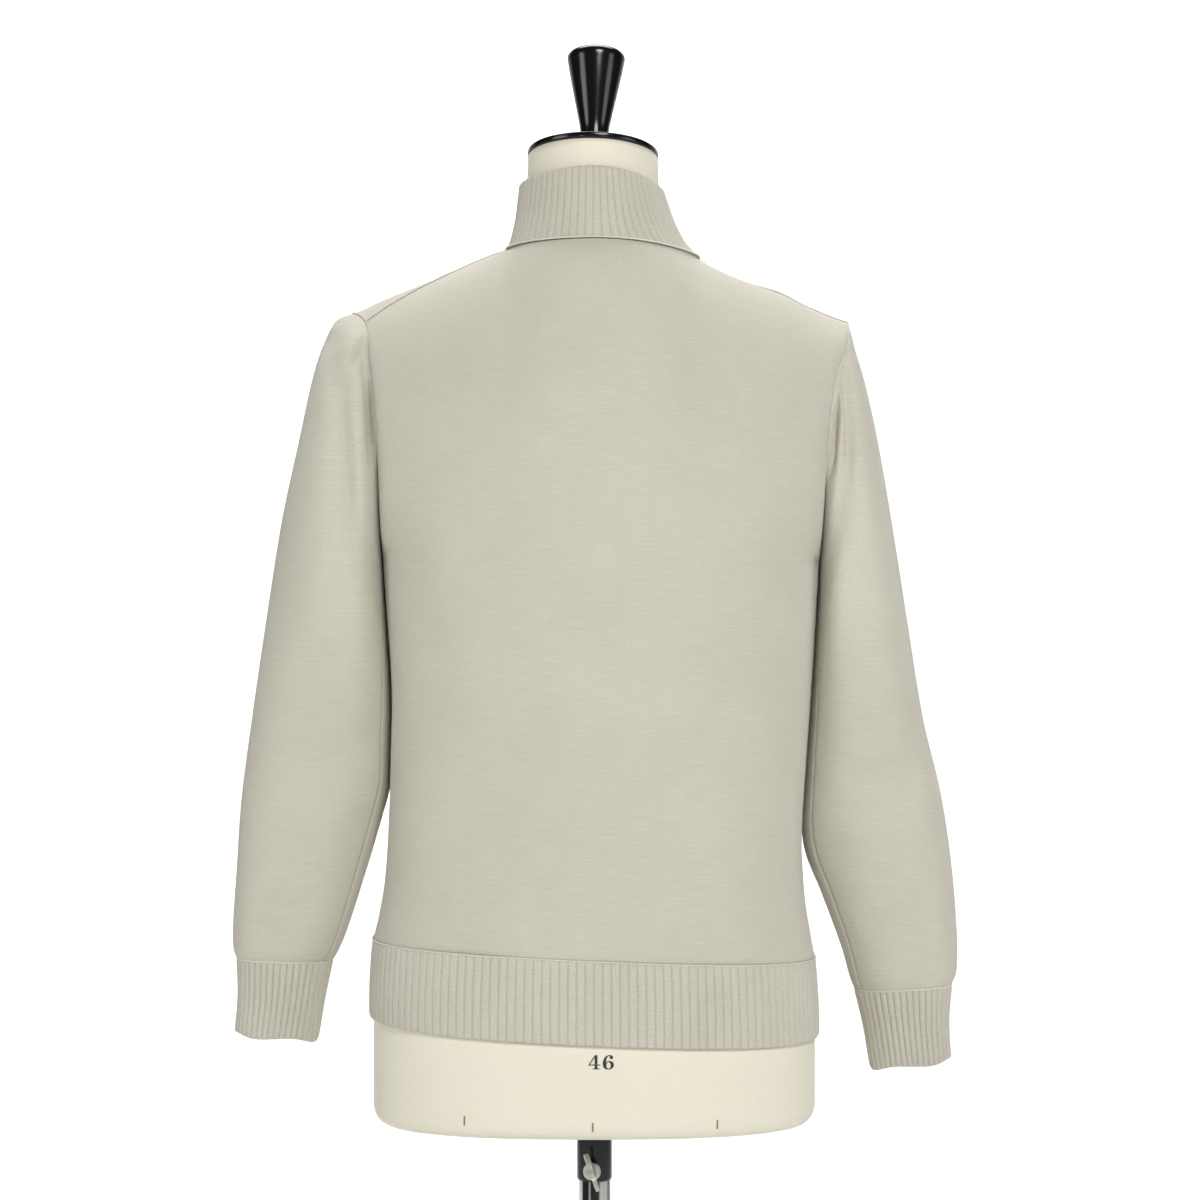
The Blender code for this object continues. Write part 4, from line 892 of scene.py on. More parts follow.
FRONT_CREASES = (
    (FRONT, ((0.165, 1.340), (0.130, 1.240), (0.085, 1.130)), -0.0024, 0.020),
    (FRONT, ((-0.170, 1.345), (-0.140, 1.230), (-0.098, 1.110)), -0.0022, 0.022),
    (FRONT, ((0.090, 0.950), (0.078, 1.070), (0.086, 1.190)), 0.0016, 0.024),
    (FRONT, ((-0.078, 0.955), (-0.070, 1.050), (-0.080, 1.180)), -0.0018, 0.022),
    (FRONT, ((0.145, 0.955), (0.130, 1.060), (0.136, 1.160)), -0.0014, 0.018),
    (FRONT, ((-0.140, 0.950), (-0.128, 1.040), (-0.118, 1.120)), 0.0014, 0.018),
    (FRONT, ((0.120, 1.440), (0.075, 1.410), (0.030, 1.300)), 0.0014, 0.024),
    (FRONT, ((-0.125, 1.435), (-0.080, 1.390), (-0.036, 1.290)), -0.0015, 0.022),
)
heights = spread(PANEL_ROWS, 0.0, 2.0, 0.5)
columns = half_columns(32, 46)
whole = np.append(-columns[:0:-1], columns)
points = soften_bend(panel(BACK, whole, heights), heights, whole)
points = press(points, BACK_CREASES)
garment_piece(
    "back_jersey", points, grid_uv(points, 0.5), JERSEY, ["back"], (0, 0, 1.2)
)
for side, node in ((LEFT, "front_left"), (RIGHT, "front_right")):
    points = panel(FRONT, side * columns, heights, BAND_HALF + SEAM_GAP)
    points = soften_bend(points, heights, columns)
    points = press(points, FRONT_CREASES)
    garment_piece(
        node + "_jersey", points, grid_uv(points), JERSEY, [node], (0, 0, 1.2)
    )

# --- Sleeves --------------------------------------------------------------------------
# One jersey tube each, with its seam under the arm. They are linked into the armholes
# and hang straight down, so they buckle where they leave the shoulder.
SLEEVE_STEPS, SLEEVE_ROWS, SLEEVE_CLEAR = 160, 150, 0.0006
SLEEVE_SQUARE = 0.16
SLEEVE_MIDDLE = (0.235, -0.010)
SEAM_HOLD = 0.0022
TUBE_NAMES = ("outer_x", "outer_z", "inner_x", "inner_z", "deep", "middle")
SLEEVE_TABLE = {
    LEFT: (
        (0.04, 0.2170, 1.4630, 0.1700, 1.2600, 0.0600, -0.001),
        (0.08, 0.2255, 1.4460, 0.1700, 1.2500, 0.0630, -0.002),
        (0.15, 0.2345, 1.4150, 0.1690, 1.2320, 0.0640, -0.004),
        (0.25, 0.2460, 1.3620, 0.1680, 1.2050, 0.0640, -0.006),
        (0.36, 0.2602, 1.2970, 0.1670, 1.1720, 0.0620, -0.008),
        (0.48, 0.2735, 1.2150, 0.1670, 1.1300, 0.0560, -0.010),
        (0.60, 0.2855, 1.1350, 0.1690, 1.0830, 0.0490, -0.012),
        (0.72, 0.2948, 1.0650, 0.1800, 1.0400, 0.0430, -0.013),
        (0.84, 0.2990, 1.0050, 0.1945, 0.9920, 0.0390, -0.013),
        (0.94, 0.3022, 0.9560, 0.2080, 0.9510, 0.0360, -0.013),
        (0.98, 0.3015, 0.9380, 0.2150, 0.9350, 0.0330, -0.013),
        (1.00, 0.2988, 0.9310, 0.2190, 0.9290, 0.0300, -0.013),
    ),
    RIGHT: (
        (0.04, 0.2135, 1.4510, 0.1800, 1.2540, 0.0590, -0.001),
        (0.08, 0.2162, 1.4400, 0.1800, 1.2430, 0.0620, -0.002),
        (0.15, 0.2247, 1.4120, 0.1800, 1.2250, 0.0630, -0.004),
        (0.25, 0.2357, 1.3620, 0.1790, 1.1980, 0.0640, -0.006),
        (0.36, 0.2472, 1.2960, 0.1780, 1.1620, 0.0620, -0.008),
        (0.48, 0.2610, 1.2110, 0.1760, 1.1160, 0.0560, -0.010),
        (0.60, 0.2742, 1.1320, 0.1730, 1.0640, 0.0500, -0.012),
        (0.72, 0.2885, 1.0730, 0.1755, 1.0220, 0.0440, -0.013),
        (0.84, 0.2982, 1.0100, 0.1905, 0.9830, 0.0390, -0.013),
        (0.94, 0.3030, 0.9480, 0.2070, 0.9380, 0.0360, -0.013),
        (0.98, 0.3025, 0.9200, 0.2140, 0.9130, 0.0330, -0.013),
        (1.00, 0.2985, 0.9090, 0.2175, 0.9050, 0.0300, -0.013),
    ),
}
SLEEVE_CREASES = {
    LEFT: (
        (BACK, ((0.1895, 1.446), (0.1925, 1.436), (0.2040, 1.421)), -0.0042, 0.0040),
        (BACK, ((0.1870, 1.446), (0.1880, 1.430), (0.1880, 1.412)), -0.0036, 0.0040),
        (BACK, ((0.1856, 1.420), (0.1838, 1.398), (0.1822, 1.370), (0.1812, 1.342)), -0.0090, 0.0032),
        (BACK, ((0.2160, 1.440), (0.2100, 1.400), (0.2030, 1.340), (0.1965, 1.250)), -0.0058, 0.0100),
        (BACK, ((0.1970, 1.405), (0.1925, 1.340), (0.1890, 1.270)), 0.0034, 0.0080),
        (BACK, ((0.210, 1.300), (0.226, 1.250), (0.240, 1.180)), 0.0026, 0.0150),
        (BACK, ((0.185, 1.120), (0.225, 1.094), (0.272, 1.100)), -0.0036, 0.0130),
        (BACK, ((0.190, 1.070), (0.228, 1.048), (0.262, 1.052)), 0.0024, 0.0110),
        (BACK, ((0.222, 0.984), (0.254, 0.972), (0.290, 0.976)), -0.0028, 0.0080),
        (BACK, ((0.236, 1.020), (0.262, 0.998), (0.284, 0.962)), -0.0022, 0.0080),
        (FRONT, ((0.205, 1.420), (0.196, 1.370), (0.188, 1.310)), -0.0050, 0.0090),
        (FRONT, ((0.226, 1.380), (0.214, 1.310), (0.196, 1.240)), 0.0030, 0.0130),
        (FRONT, ((0.184, 1.130), (0.226, 1.100), (0.276, 1.120)), -0.0046, 0.0120),
        (FRONT, ((0.188, 1.080), (0.230, 1.062), (0.280, 1.070)), -0.0036, 0.0110),
        (FRONT, ((0.222, 0.975), (0.256, 0.964), (0.292, 0.972)), -0.0024, 0.0090),
    ),
    RIGHT: (
        (BACK, ((-0.2058, 1.434), (-0.2083, 1.400), (-0.2096, 1.370), (-0.2080, 1.325)), -0.0078, 0.0046),
        (BACK, ((-0.1990, 1.406), (-0.1955, 1.383), (-0.1925, 1.358), (-0.1905, 1.330)), -0.0068, 0.0044),
        (BACK, ((-0.1960, 1.4165), (-0.2030, 1.4110), (-0.2070, 1.4060)), -0.0024, 0.0028),
        (BACK, ((-0.1975, 1.4020), (-0.2030, 1.4050), (-0.2070, 1.4010)), -0.0022, 0.0028),
        (BACK, ((-0.200, 1.350), (-0.212, 1.290), (-0.218, 1.220)), -0.0034, 0.0120),
        (BACK, ((-0.226, 1.330), (-0.236, 1.250), (-0.240, 1.180)), 0.0022, 0.0150),
        (BACK, ((-0.200, 1.072), (-0.240, 1.085), (-0.282, 1.083)), -0.0042, 0.0130),
        (BACK, ((-0.269, 1.106), (-0.256, 1.070), (-0.243, 1.034)), -0.0028, 0.0110),
        (BACK, ((-0.198, 1.040), (-0.224, 1.036), (-0.250, 1.048)), 0.0024, 0.0110),
        (BACK, ((-0.214, 0.958), (-0.242, 0.968), (-0.270, 0.975)), -0.0028, 0.0090),
        (BACK, ((-0.282, 1.000), (-0.268, 0.962), (-0.262, 0.930)), -0.0022, 0.0080),
        (FRONT, ((-0.208, 1.410), (-0.198, 1.350), (-0.192, 1.290)), -0.0050, 0.0090),
        (FRONT, ((-0.226, 1.370), (-0.214, 1.300), (-0.200, 1.220)), 0.0028, 0.0140),
        (FRONT, ((-0.186, 1.100), (-0.226, 1.084), (-0.280, 1.100)), -0.0044, 0.0120),
        (FRONT, ((-0.196, 1.050), (-0.236, 1.040), (-0.284, 1.050)), -0.0034, 0.0110),
        (FRONT, ((-0.220, 0.950), (-0.254, 0.944), (-0.288, 0.955)), -0.0024, 0.0090),
    ),
}


def trunk_side(side, z):
    """Half width of the body at heights of the room, on one side."""
    up = np.clip((z - RIB_LEVEL) / (ARMPIT_LEVEL - RIB_LEVEL), 0.0, 1.0)
    half = BODY["left" if side == LEFT else "right"]
    return half(z - side * half(z) * mix(LEAN_LOW, LEAN_HIGH, up))


def tube_point(side, row, angle, out=0.0):
    """Points on rings of a sleeve or cuff; 0 is outside, +90 the back, 180 inside."""
    sine, cosine = np.sin(np.radians(angle)), np.cos(np.radians(angle))
    sine = np.sign(sine) * np.abs(sine) ** (1.0 - SLEEVE_SQUARE * row["flat"])
    cosine = np.sign(cosine) * np.abs(cosine) ** (1.0 - SLEEVE_SQUARE * row["flat"])
    reach_x, reach_z = row["outer_x"] - row["inner_x"], row["outer_z"] - row["inner_z"]
    length = np.hypot(reach_x, reach_z)
    x = (row["outer_x"] + row["inner_x"]) / 2 + reach_x * cosine * (0.5 + out / length)
    y = row["middle"] + (row["deep"] + out) * sine
    z = (row["outer_z"] + row["inner_z"]) / 2 + reach_z * cosine * (0.5 + out / length)
    return np.stack(np.broadcast_arrays(side * (x + SEAM_GAP), y, z), axis=-1)


def sleeve_point(side, along, angle):
    hole = ARMHOLE[side]
    under = section_point(side, BACK, 1.0, ARMPIT_LEVEL, False)
    first = (0.0, hole["top_x"], hole["top_z"], abs(under[0]), under[2], hole["half_depth"], 0.0)
    row = {name: line(along) for name, line in lines(TUBE_NAMES, (first, *SLEEVE_TABLE[side])).items()}
    clear = trunk_side(side, row["inner_z"]) + SLEEVE_CLEAR
    row["inner_x"] = np.where(along > 0.0, np.maximum(row["inner_x"], clear), row["inner_x"])
    row["flat"] = np.clip(along / 0.25, 0.0, 1.0)
    points = tube_point(side, row, angle)
    turn = (angle + 180.0) % 360.0 - 180.0
    points[..., 0] -= side * hole["pull"](turn) * np.exp(-((along / 0.075) ** 2))
    return points


def level_uv(points):
    """UV in metres with level courses: round the tube from its middle column, and height."""
    across = np.linalg.norm(np.diff(points[..., :2], axis=1), axis=2)
    across = np.concatenate((np.zeros((points.shape[0], 1)), np.cumsum(across, axis=1)), axis=1)
    across -= across[:, [points.shape[1] // 2]]
    return np.stack((across, points[..., 2]), axis=-1)


for side, name in ((LEFT, "sleeve_left"), (RIGHT, "sleeve_right")):
    part, along = np.meshgrid(spread(SLEEVE_STEPS, 0.0, 1.0, 0.35), spread(SLEEVE_ROWS, 0.0, 1.0, 0.45))
    seam_shift = np.clip(along / 0.45, 0.0, 1.0)
    angle = 180.0 - 30.0 * seam_shift**2 * (3.0 - 2.0 * seam_shift) + 360.0 * part
    middle = (side * SLEEVE_MIDDLE[0], SLEEVE_MIDDLE[1])
    points = sleeve_point(side, along, angle)
    points = edge_dip(press(points, SLEEVE_CREASES[side], middle, SEAM_HOLD), middle)
    garment_piece(
        name + "_jersey", points, level_uv(points), JERSEY, [name],
        (*middle, 1.2),
    )

# --- Hem, cuffs, collar and bands -----------------------------------------------------
# Wide flat ribs of heavier knit, linked to the jersey loop by loop. The hem and cuffs
# pull in a little, and the collar stands up round the form's neck.
RIB_RISE, CUFF_RISE, RIB_WALL = 0.00095, 0.00155, 0.0022
RIB_UNIT = 0.0065
GROOVE_SHARE = 0.105
HEM_PROUD, COLLAR_GAP = 0.00015, 0.0006
TOP_ROUND, EDGE_ROUND, EDGE_ROLL = 0.0007, 0.0012, 0.0009
HEM_PITCH, CUFF_PITCH, COLLAR_PITCH = 0.0070, 0.0055, 0.0063
RIB_PLACES = np.array((0.0, 0.07, 0.14, 0.24, 0.5, 0.76, 0.86, 0.93))
BAND_TUCK, BAND_RIBS = 0.0015, 5
# the rib colour carries painted shade in the grooves between its ribs
RIB = knit("rib", (0.360, 0.340, 0.272), (0.745, 0.716, 0.612), RIB_UNIT / 5, 0.0012, RIB_UNIT, 0.14)


def rib_columns(count):
    """Places across a number of ribs, in ribs, from the middle of a groove to another."""
    return np.append((np.arange(count)[:, None] + RIB_PLACES).ravel(), float(count))


def even_places(curve, start, stop, length_places):
    """Parameters of a curve at given shares of its length."""
    fine = np.linspace(start, stop, 721)
    points = curve(fine)
    run = np.append(0.0, np.cumsum(np.linalg.norm(np.diff(points, axis=0), axis=1)))
    return np.interp(length_places * run[-1], run, fine), run[-1]


def rib_lift(ribs, rise):
    """Height of the ribs over their grooves, which lie at whole numbers."""
    groove = np.minimum(ribs % 1.0, 1.0 - ribs % 1.0)
    return rise * (1.0 - np.exp(-((groove / GROOVE_SHARE) ** 2)))


def raise_ribs(points, ribs, down, middle, rise):
    """Lifts the ribs off a surface; they round off at both ends of the strip."""
    lift = rib_lift(ribs, rise)
    from_low, from_high = down, down[-1:, :] - down
    lift = lift * (1.0 - 0.60 * np.exp(-((from_high / TOP_ROUND) ** 2)))
    lift = lift - EDGE_ROLL * np.exp(-((from_low / EDGE_ROUND) ** 2))
    return points + normals(points, middle) * lift[..., None]


def rib_piece(
    name, points, ribs, nodes, centre, middle=(0.0, 0.0), closed=False, rise=RIB_RISE
):
    """Strip of rib from a smooth surface, with its UV counted in ribs of one width."""
    down = grid_uv(points)[..., 1]
    ribs = np.broadcast_to(ribs, down.shape)
    uv = np.stack((ribs * RIB_UNIT, down), axis=-1)
    points = raise_ribs(points, ribs, down, middle, rise)
    garment_piece(name, points, uv, RIB, nodes, centre, RIB_WALL, closed)


def hem_point(turn, level, face, start=0.0):
    """Points of the hem; turn runs from -90 at the right side to 90 at the left one."""
    share = np.minimum(np.abs(np.sin(np.radians(turn))), 1.0)
    left = section_point(LEFT, face, mix(start / BODY["left"](level), 1.0, share), level, False)
    right = section_point(RIGHT, face, mix(start / BODY["right"](level), 1.0, share), level, False)
    points = np.where((turn >= 0.0)[..., None], left, right)
    points[..., 1] += face * HEM_PROUD
    return points


HEM_PIECES = (
    ("hem_back", BACK, -90.0, 90.0, 0.0, (0.50, 0.064), 0.0315),
    ("hem_front_left", FRONT, 0.0, 90.0, BAND_HALF + SEAM_GAP, (0.25, 0.064), 0.0156),
    ("hem_front_right", FRONT, 0.0, -90.0, BAND_HALF + SEAM_GAP, (0.25, 0.064), 0.0156),
)
levels = spread(28, HEM_LEVEL, RIB_LEVEL - SEAM_GAP, 0.7)
for name, face, first, last, start, flat, area in HEM_PIECES:

    def hem_curve(turn, face=face, start=start):
        turn = np.where(turn == 0.0, np.copysign(0.0001, last), turn) if start else turn
        return hem_point(turn, np.full_like(turn, HEM_LEVEL), face, start)

    length = even_places(hem_curve, first, last, np.array((1.0,)))[1]
    count = round(length / HEM_PITCH)
    ribs = rib_columns(count)
    turn = even_places(hem_curve, first, last, ribs / count)[0]
    turn = np.where(turn == 0.0, np.copysign(0.0001, last), turn) if start else turn
    turns, heights = np.meshgrid(turn, levels)
    rib_piece(name + "_rib", hem_point(turns, heights, face, start), ribs, [name], (0, 0, 0.9))

CUFF_MIDDLE = (0.262, -0.013)
CUFF_WAVE, CUFF_WAVES = 0.0014, 4.0
CUFF_TABLE = {
    LEFT: (
        (0.00, 0.2978, 0.9307, 0.2200, 0.9287, 0.0290, -0.013),
        (0.45, 0.2968, 0.9010, 0.2262, 0.8990, 0.0262, -0.013),
        (1.00, 0.2995, 0.8682, 0.2325, 0.8626, 0.0250, -0.014),
    ),
    RIGHT: (
        (0.00, 0.2975, 0.9087, 0.2185, 0.9047, 0.0290, -0.013),
        (0.45, 0.2952, 0.8800, 0.2255, 0.8760, 0.0262, -0.013),
        (1.00, 0.2968, 0.8462, 0.2318, 0.8390, 0.0250, -0.014),
    ),
}


def cuff_point(side, down, angle, out=0.0):
    row = {name: line(down) for name, line in lines(TUBE_NAMES, CUFF_TABLE[side]).items()}
    row["flat"] = 1.0
    return tube_point(side, row, angle, out)


for side, name in ((LEFT, "cuff_left"), (RIGHT, "cuff_right")):

    def cuff_curve(angle, side=side):
        return cuff_point(side, np.zeros_like(angle), angle)

    count = round(even_places(cuff_curve, 150.0, 510.0, np.array((1.0,)))[1] / CUFF_PITCH)
    ribs = rib_columns(count)
    angle = even_places(cuff_curve, 150.0, 510.0, ribs / count)[0]
    angles, downs = np.meshgrid(angle, spread(30, 1.0, 0.0, 0.7))
    middle = (side * CUFF_MIDDLE[0], CUFF_MIDDLE[1])
    points = cuff_point(side, downs, angles)
    points[..., 2] += CUFF_WAVE * np.sin(np.radians(CUFF_WAVES * angles)) * downs**4
    rib_piece(
        name + "_rib", points, ribs, [name],
        (*middle, 0.9), middle, closed=True, rise=CUFF_RISE,
    )


def collar_point(place, up):
    """Points of the collar: place 0 is the back, 1 the left side, 2 the left band."""
    half = np.where(place >= 0.0, COLLAR["left"](up), COLLAR["right"](up))
    end = 180.0 - np.degrees(np.arcsin((BAND_HALF + SEAM_GAP) / half))
    outer = mix(90.0, end, np.maximum(np.abs(place) - 1.0, 0.0))
    turn = np.where(np.abs(place) <= 1.0, 90.0 * place, np.sign(place) * outer)
    points = ring_point(COLLAR, up, turn)
    points[..., 2] += COLLAR_GAP * (1.0 - up)
    return points


def collar_curve(place):
    return collar_point(place, np.full_like(place, 0.40))


count = round(even_places(collar_curve, -2.0, 2.0, np.array((1.0,)))[1] / COLLAR_PITCH)
ribs = rib_columns(count)
place = even_places(collar_curve, -2.0, 2.0, ribs / count)[0]
places, ups = np.meshgrid(place, spread(34, 1.0, 0.0, 0.6))
middle = (0.0, NECK_MIDDLE)
rib_piece(
    "collar_rib", collar_point(places, ups), ribs, ["collar"], (*middle, 1.5), middle
)


def front_point(x, height):
    """Points of the front near its middle, from the hem's edge to the collar's top."""
    points = np.empty((*x.shape, 3))
    for side in (LEFT, RIGHT):
        start = np.abs(x)
        low = body_point(side, FRONT, np.zeros_like(x), np.minimum(height, 2.0), start)
        up = np.clip(height - 2.0, 0.0, 1.0)
        half = COLLAR["left" if side == LEFT else "right"](up)
        turn = side * (180.0 - np.degrees(np.arcsin(start / half)))
        high = ring_point(COLLAR, up, turn)
        mine = (x >= 0.0) if side == LEFT else (x < 0.0)
        points[mine] = np.where((height <= 2.0)[..., None], low, high)[mine]
    return points


def band_point(x, height, out):
    """Points of the front bands: out is how far they stand off the front's surface."""
    low = front_point(x, np.maximum(height - 0.03, -1.0))
    high = front_point(x, np.minimum(height + 0.03, 3.0))
    rise = high - low
    normal = np.stack((np.zeros_like(x), -rise[..., 2], rise[..., 1]), axis=-1)
    normal /= np.linalg.norm(normal, axis=2, keepdims=True)
    return front_point(x, height) + normal * np.broadcast_to(out, x.shape)[..., None]


ribs = rib_columns(BAND_RIBS)
lift = rib_lift(ribs, RIB_RISE)
xs, heights = np.meshgrid(mix(-BAND_HALF, BAND_HALF, ribs / BAND_RIBS), np.linspace(-1.0, 3.0, 121))
BAND_TOPS = {"band_left": lift, "band_right": lift * 0.4 - RIB_WALL - 0.0012}
for name, tops in BAND_TOPS.items():
    wide = xs if name == "band_left" else np.minimum(xs, BAND_HALF - BAND_TUCK)
    points = band_point(wide, heights, tops)
    uv = np.stack((np.broadcast_to(ribs * RIB_UNIT, xs.shape), grid_uv(points)[..., 1]), axis=-1)
    garment_piece(name + "_rib", points, uv, RIB, [name], (0, 0, 1.2), 0.0020)

# --- Linking --------------------------------------------------------------------------
# The pieces are joined by a chain of wool on the edge of each seam. It shows as a row of
# small light loops.
LOOP, LOOP_SIDES, LOOP_STEPS = 0.0017, 6, 4
NECK_CORD, SEAM_CORD, CUFF_CORD, HEM_CORD = 0.0011, 0.0007, 0.0010, 0.0009
HEM_CORD_OUT = 0.0007
YARN = knit("linking_yarn", (0.600, 0.575, 0.480), (0.800, 0.775, 0.680))


def chain(name, path, radius, out_from):
    """Beaded cord of loops along a path; it stands off an upright axis."""
    run = np.append(0.0, np.cumsum(np.linalg.norm(np.diff(path, axis=0), axis=1)))
    count = int(round(run[-1] / LOOP)) * LOOP_STEPS
    even = np.linspace(0.0, run[-1], count + 1)
    line = np.stack([np.interp(even, run, path[:, i]) for i in range(3)], axis=-1)
    tangent = np.gradient(line, axis=0)
    tangent /= np.linalg.norm(tangent, axis=1, keepdims=True)
    out = line - np.array((*out_from, 0.0))
    out[:, 2] = 0.0
    out -= tangent * np.sum(out * tangent, axis=1, keepdims=True)
    out /= np.linalg.norm(out, axis=1, keepdims=True)
    side = np.cross(tangent, out)
    turn = np.linspace(0.0, 2.0 * np.pi, LOOP_SIDES + 1)[:, None, None]
    swell = 0.70 + 0.30 * np.abs(np.sin(np.pi * np.arange(count + 1) / LOOP_STEPS))
    swell[0] = swell[-1] = 0.05
    reach = radius * swell[None, :, None]
    points = line[None] + (out[None] * np.cos(turn) + side[None] * np.sin(turn) * 0.9) * reach
    uv = np.stack(np.broadcast_arrays(even[None, :], turn[..., 0] * radius), axis=-1)
    middle = line.mean(axis=0)
    made = cloth_mesh(name, points, uv, middle, closed=True)
    made.data.materials.append(YARN)
    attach(made, "root")


def off_axis(path, out, axis=(0.0, 0.0)):
    away = path - np.array((*axis, 0.0))
    away[:, 2] = 0.0
    return path + away / np.linalg.norm(away, axis=1, keepdims=True) * out


turn = np.linspace(-166.0, 166.0, 400)
path = off_axis(neck_edge(turn, False), 0.0014, (0.0, NECK_MIDDLE)) + np.array((0.0, 0.0, 0.0012))
chain("neck_linking", path, NECK_CORD, (0.0, NECK_MIDDLE))
for side, word in ((LEFT, "left"), (RIGHT, "right")):
    column = np.linspace(NECK_PART, 1.0, 120)
    path = body_point(side, BACK, column, np.full_like(column, 2.0))
    path = path + np.array((0, 0.0004, 0.0005))
    chain(f"shoulder_linking_{word}", path, SEAM_CORD, (0.0, -0.2))
    angle = np.linspace(-176.0, 176.0, 300)
    path = armhole_point(side, angle) + np.array((side * 0.0002, 0, 0))
    chain(f"armhole_linking_{word}", path, SEAM_CORD, (side * 0.150, 0.0))
    angle = np.linspace(150.0, 510.0, 200)
    path = cuff_point(side, np.zeros_like(angle), angle, 0.0006)
    chain(f"cuff_linking_{word}", path, CUFF_CORD, (side * CUFF_MIDDLE[0], CUFF_MIDDLE[1]))
    path = body_point(side, FRONT, np.linspace(0.0, 1.0, 200), np.zeros(200), BAND_HALF + 0.001)
    chain(f"hem_linking_{word}", off_axis(path, HEM_CORD_OUT), HEM_CORD, (0.0, 0.0))
turn = np.linspace(-90.0, 90.0, 400)
path = off_axis(hem_point(turn, np.full_like(turn, RIB_LEVEL), BACK), HEM_CORD_OUT)
chain("hem_linking_back", path, HEM_CORD, (0.0, 0.0))

# --- Buttons --------------------------------------------------------------------------
# Seven plain four-hole buttons, turned from pale horn with a raised rim and sewn on
# with wool through the outer band.
HOLE_OUT, HOLE_RADIUS, HOLE_DEEP = 0.0015, 0.0009, 0.0003
THREAD_RADIUS, THREAD_LENGTH = 0.0005, 0.0034
BUTTON_HEIGHTS = (-0.50, 0.22, 0.53, 0.84, 1.18, 1.62, 2.45)
BUTTON_OUTLINE = (
    (0.0, 0.0021), (0.0052, 0.0021), (0.0061, 0.0022), (0.0068, 0.0026), (0.0075, 0.0030),
    (0.0082, 0.0029), (0.0088, 0.0025), (0.0090, 0.0019), (0.0088, 0.0011), (0.0082, 0.0003),
    (0.0075, 0.0), (0.0, 0.0),
)
horn = Paint("button_horn", 0.28)
grain = horn.noise(horn.stretch(horn.place(), (160.0, 160.0, 420.0)), 1.0, 4.0)
horn.colour((0.30, 0.25, 0.17), (0.62, 0.56, 0.44), grain)
horn.bump(grain, 0.0001, 0.3)
thread = Paint("button_thread", 0.8)
thread.colour((0.50, 0.47, 0.39), (0.66, 0.63, 0.55), thread.noise(thread.place(), 3000.0))
# painted shade: the four holes are near-black discs on the solid button, standing in for the shade inside
# them
hole = Paint("button_hole_shade", 0.7)
hole.colour((0.03, 0.025, 0.02), (0.07, 0.06, 0.05), hole.noise(hole.place(), 900.0))

for number, height in enumerate(BUTTON_HEIGHTS, start=1):
    x, h = np.zeros((1, 1)), np.full((1, 1), height)
    seat, over = Vector(band_point(x, h, RIB_RISE + SEAM_GAP)[0, 0]), Vector(band_point(x, h, 0.01)[0, 0])
    normal = (over - seat).normalized()
    place = Matrix.Translation(seat) @ Vector((0, 0, 1)).rotation_difference(normal).to_matrix().to_4x4()
    body = turn_outline(BUTTON_OUTLINE, 48, place)
    finish_mesh(f"button_{number}_horn", body, horn.material, 50.0, (f"button_{number}",))
    hole_shades, threads = bmesh.new(), bmesh.new()
    for a in (-HOLE_OUT, HOLE_OUT):
        for b in (-HOLE_OUT, HOLE_OUT):
            spot = place @ Matrix.Translation((a, b, 0.0020))
            bmesh.ops.create_cone(
                hole_shades, cap_ends=True, segments=20, radius1=HOLE_RADIUS, radius2=HOLE_RADIUS,
                depth=HOLE_DEEP, matrix=spot,
            )
        spot = place @ Matrix.Translation((a, 0.0, 0.0023)) @ Matrix.Rotation(math.radians(90.0), 4, "X")
        bmesh.ops.create_cone(
            threads, cap_ends=True, segments=12, radius1=THREAD_RADIUS, radius2=THREAD_RADIUS,
            depth=THREAD_LENGTH, matrix=spot,
        )
    # the dark discs are painted shade for the holes
    finish_mesh(f"button_{number}_holes", hole_shades, hole.material)
    finish_mesh(f"button_{number}_thread", threads, thread.material)

# --- Floor and light ------------------------------------------------------------------
# The photograph is a cut-out on white: a pale floor that sweeps up behind the stand, a
# large soft light over the camera, a fill at each side and two small low lights.
SWEEP = ((-1.5, 0.0), (-2.3, 0.06), (-2.8, 0.35), (-3.0, 0.9), (-3.0, 4.0))

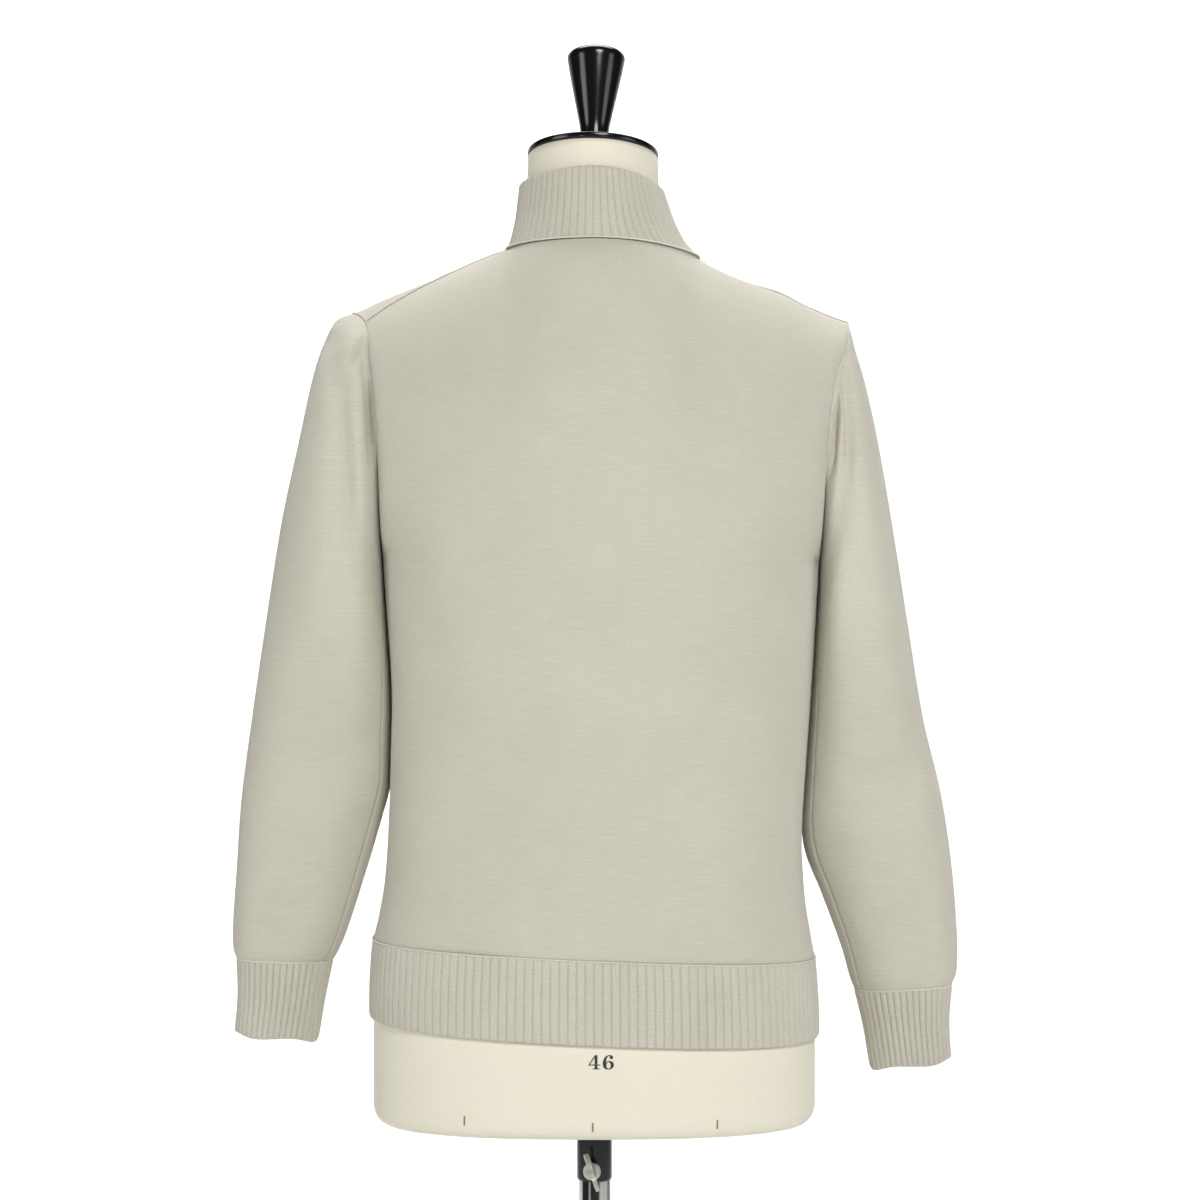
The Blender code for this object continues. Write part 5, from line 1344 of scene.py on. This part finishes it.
paper = Paint("studio_paper", 0.9)
paper.colour((0.86, 0.86, 0.86), (0.90, 0.90, 0.90), paper.noise(paper.place(), 3.0))
bm = bmesh.new()
verts = [bm.verts.new((-5.0, y, z)) for y, z in ((5.0, 0.0),) + SWEEP]
edges = [bm.edges.new(pair) for pair in zip(verts, verts[1:])]
wide = bmesh.ops.extrude_edge_only(bm, edges=edges)["geom"]
bmesh.ops.translate(bm, vec=(10.0, 0, 0), verts=[v for v in wide if isinstance(v, bmesh.types.BMVert)])
bmesh.ops.recalc_face_normals(bm, faces=bm.faces)
bmesh.ops.translate(bm, vec=(0, 0, -0.0005), verts=bm.verts)
floor_mesh = bpy.data.meshes.new("floor")
bm.to_mesh(floor_mesh)
bm.free()
floor_mesh.shade_smooth()
floor = bpy.data.objects.new("floor", floor_mesh)
bpy.context.scene.collection.objects.link(floor)
floor.data.materials.append(paper.material)


def soft_light(name, place, aim, size, power):
    data = bpy.data.lights.new(name, "AREA")
    data.shape = "DISK"
    data.size = size
    data.energy = power
    light = bpy.data.objects.new(name, data)
    light.location = place
    light.rotation_euler = (Vector(aim) - Vector(place)).to_track_quat("-Z", "Y").to_euler()
    bpy.context.scene.collection.objects.link(light)


soft_light("key", (-0.8, 3.2, 2.9), (0.0, 0.0, 1.25), 1.5, 90.0)
soft_light("fill_left", (2.9, 1.7, 1.5), (0.0, 0.0, 1.2), 1.7, 34.0)
soft_light("fill_right", (-2.9, 1.5, 1.3), (0.0, 0.0, 1.2), 1.7, 22.0)
soft_light("glint_left", (1.20, 3.0, 0.85), (0.0, 0.0, 1.60), 0.35, 6.5)
soft_light("glint_right", (-0.85, 3.0, 0.85), (0.0, 0.0, 1.60), 0.30, 3.0)
soft_light("backdrop", (0.0, -1.0, 3.4), (0.0, -3.0, 1.0), 2.2, 120.0)

# grey air all round, a little lighter overhead
world = bpy.data.worlds.new("studio_air")
world.use_nodes = True
tree = world.node_tree
direction = tree.nodes.new("ShaderNodeTexCoord").outputs["Generated"]
parts = tree.nodes.new("ShaderNodeSeparateXYZ")
tree.links.new(direction, parts.inputs[0])
height = tree.nodes.new("ShaderNodeMapRange")
height.inputs["From Min"].default_value = -0.1
height.inputs["From Max"].default_value = 0.9
height.inputs["To Min"].default_value = 0.42
height.inputs["To Max"].default_value = 0.46
tree.links.new(parts.outputs[2], height.inputs["Value"])
tree.links.new(height.outputs[0], tree.nodes["Background"].inputs["Strength"])
bpy.context.scene.world = world
bpy.context.scene.view_settings.view_transform = "Standard"
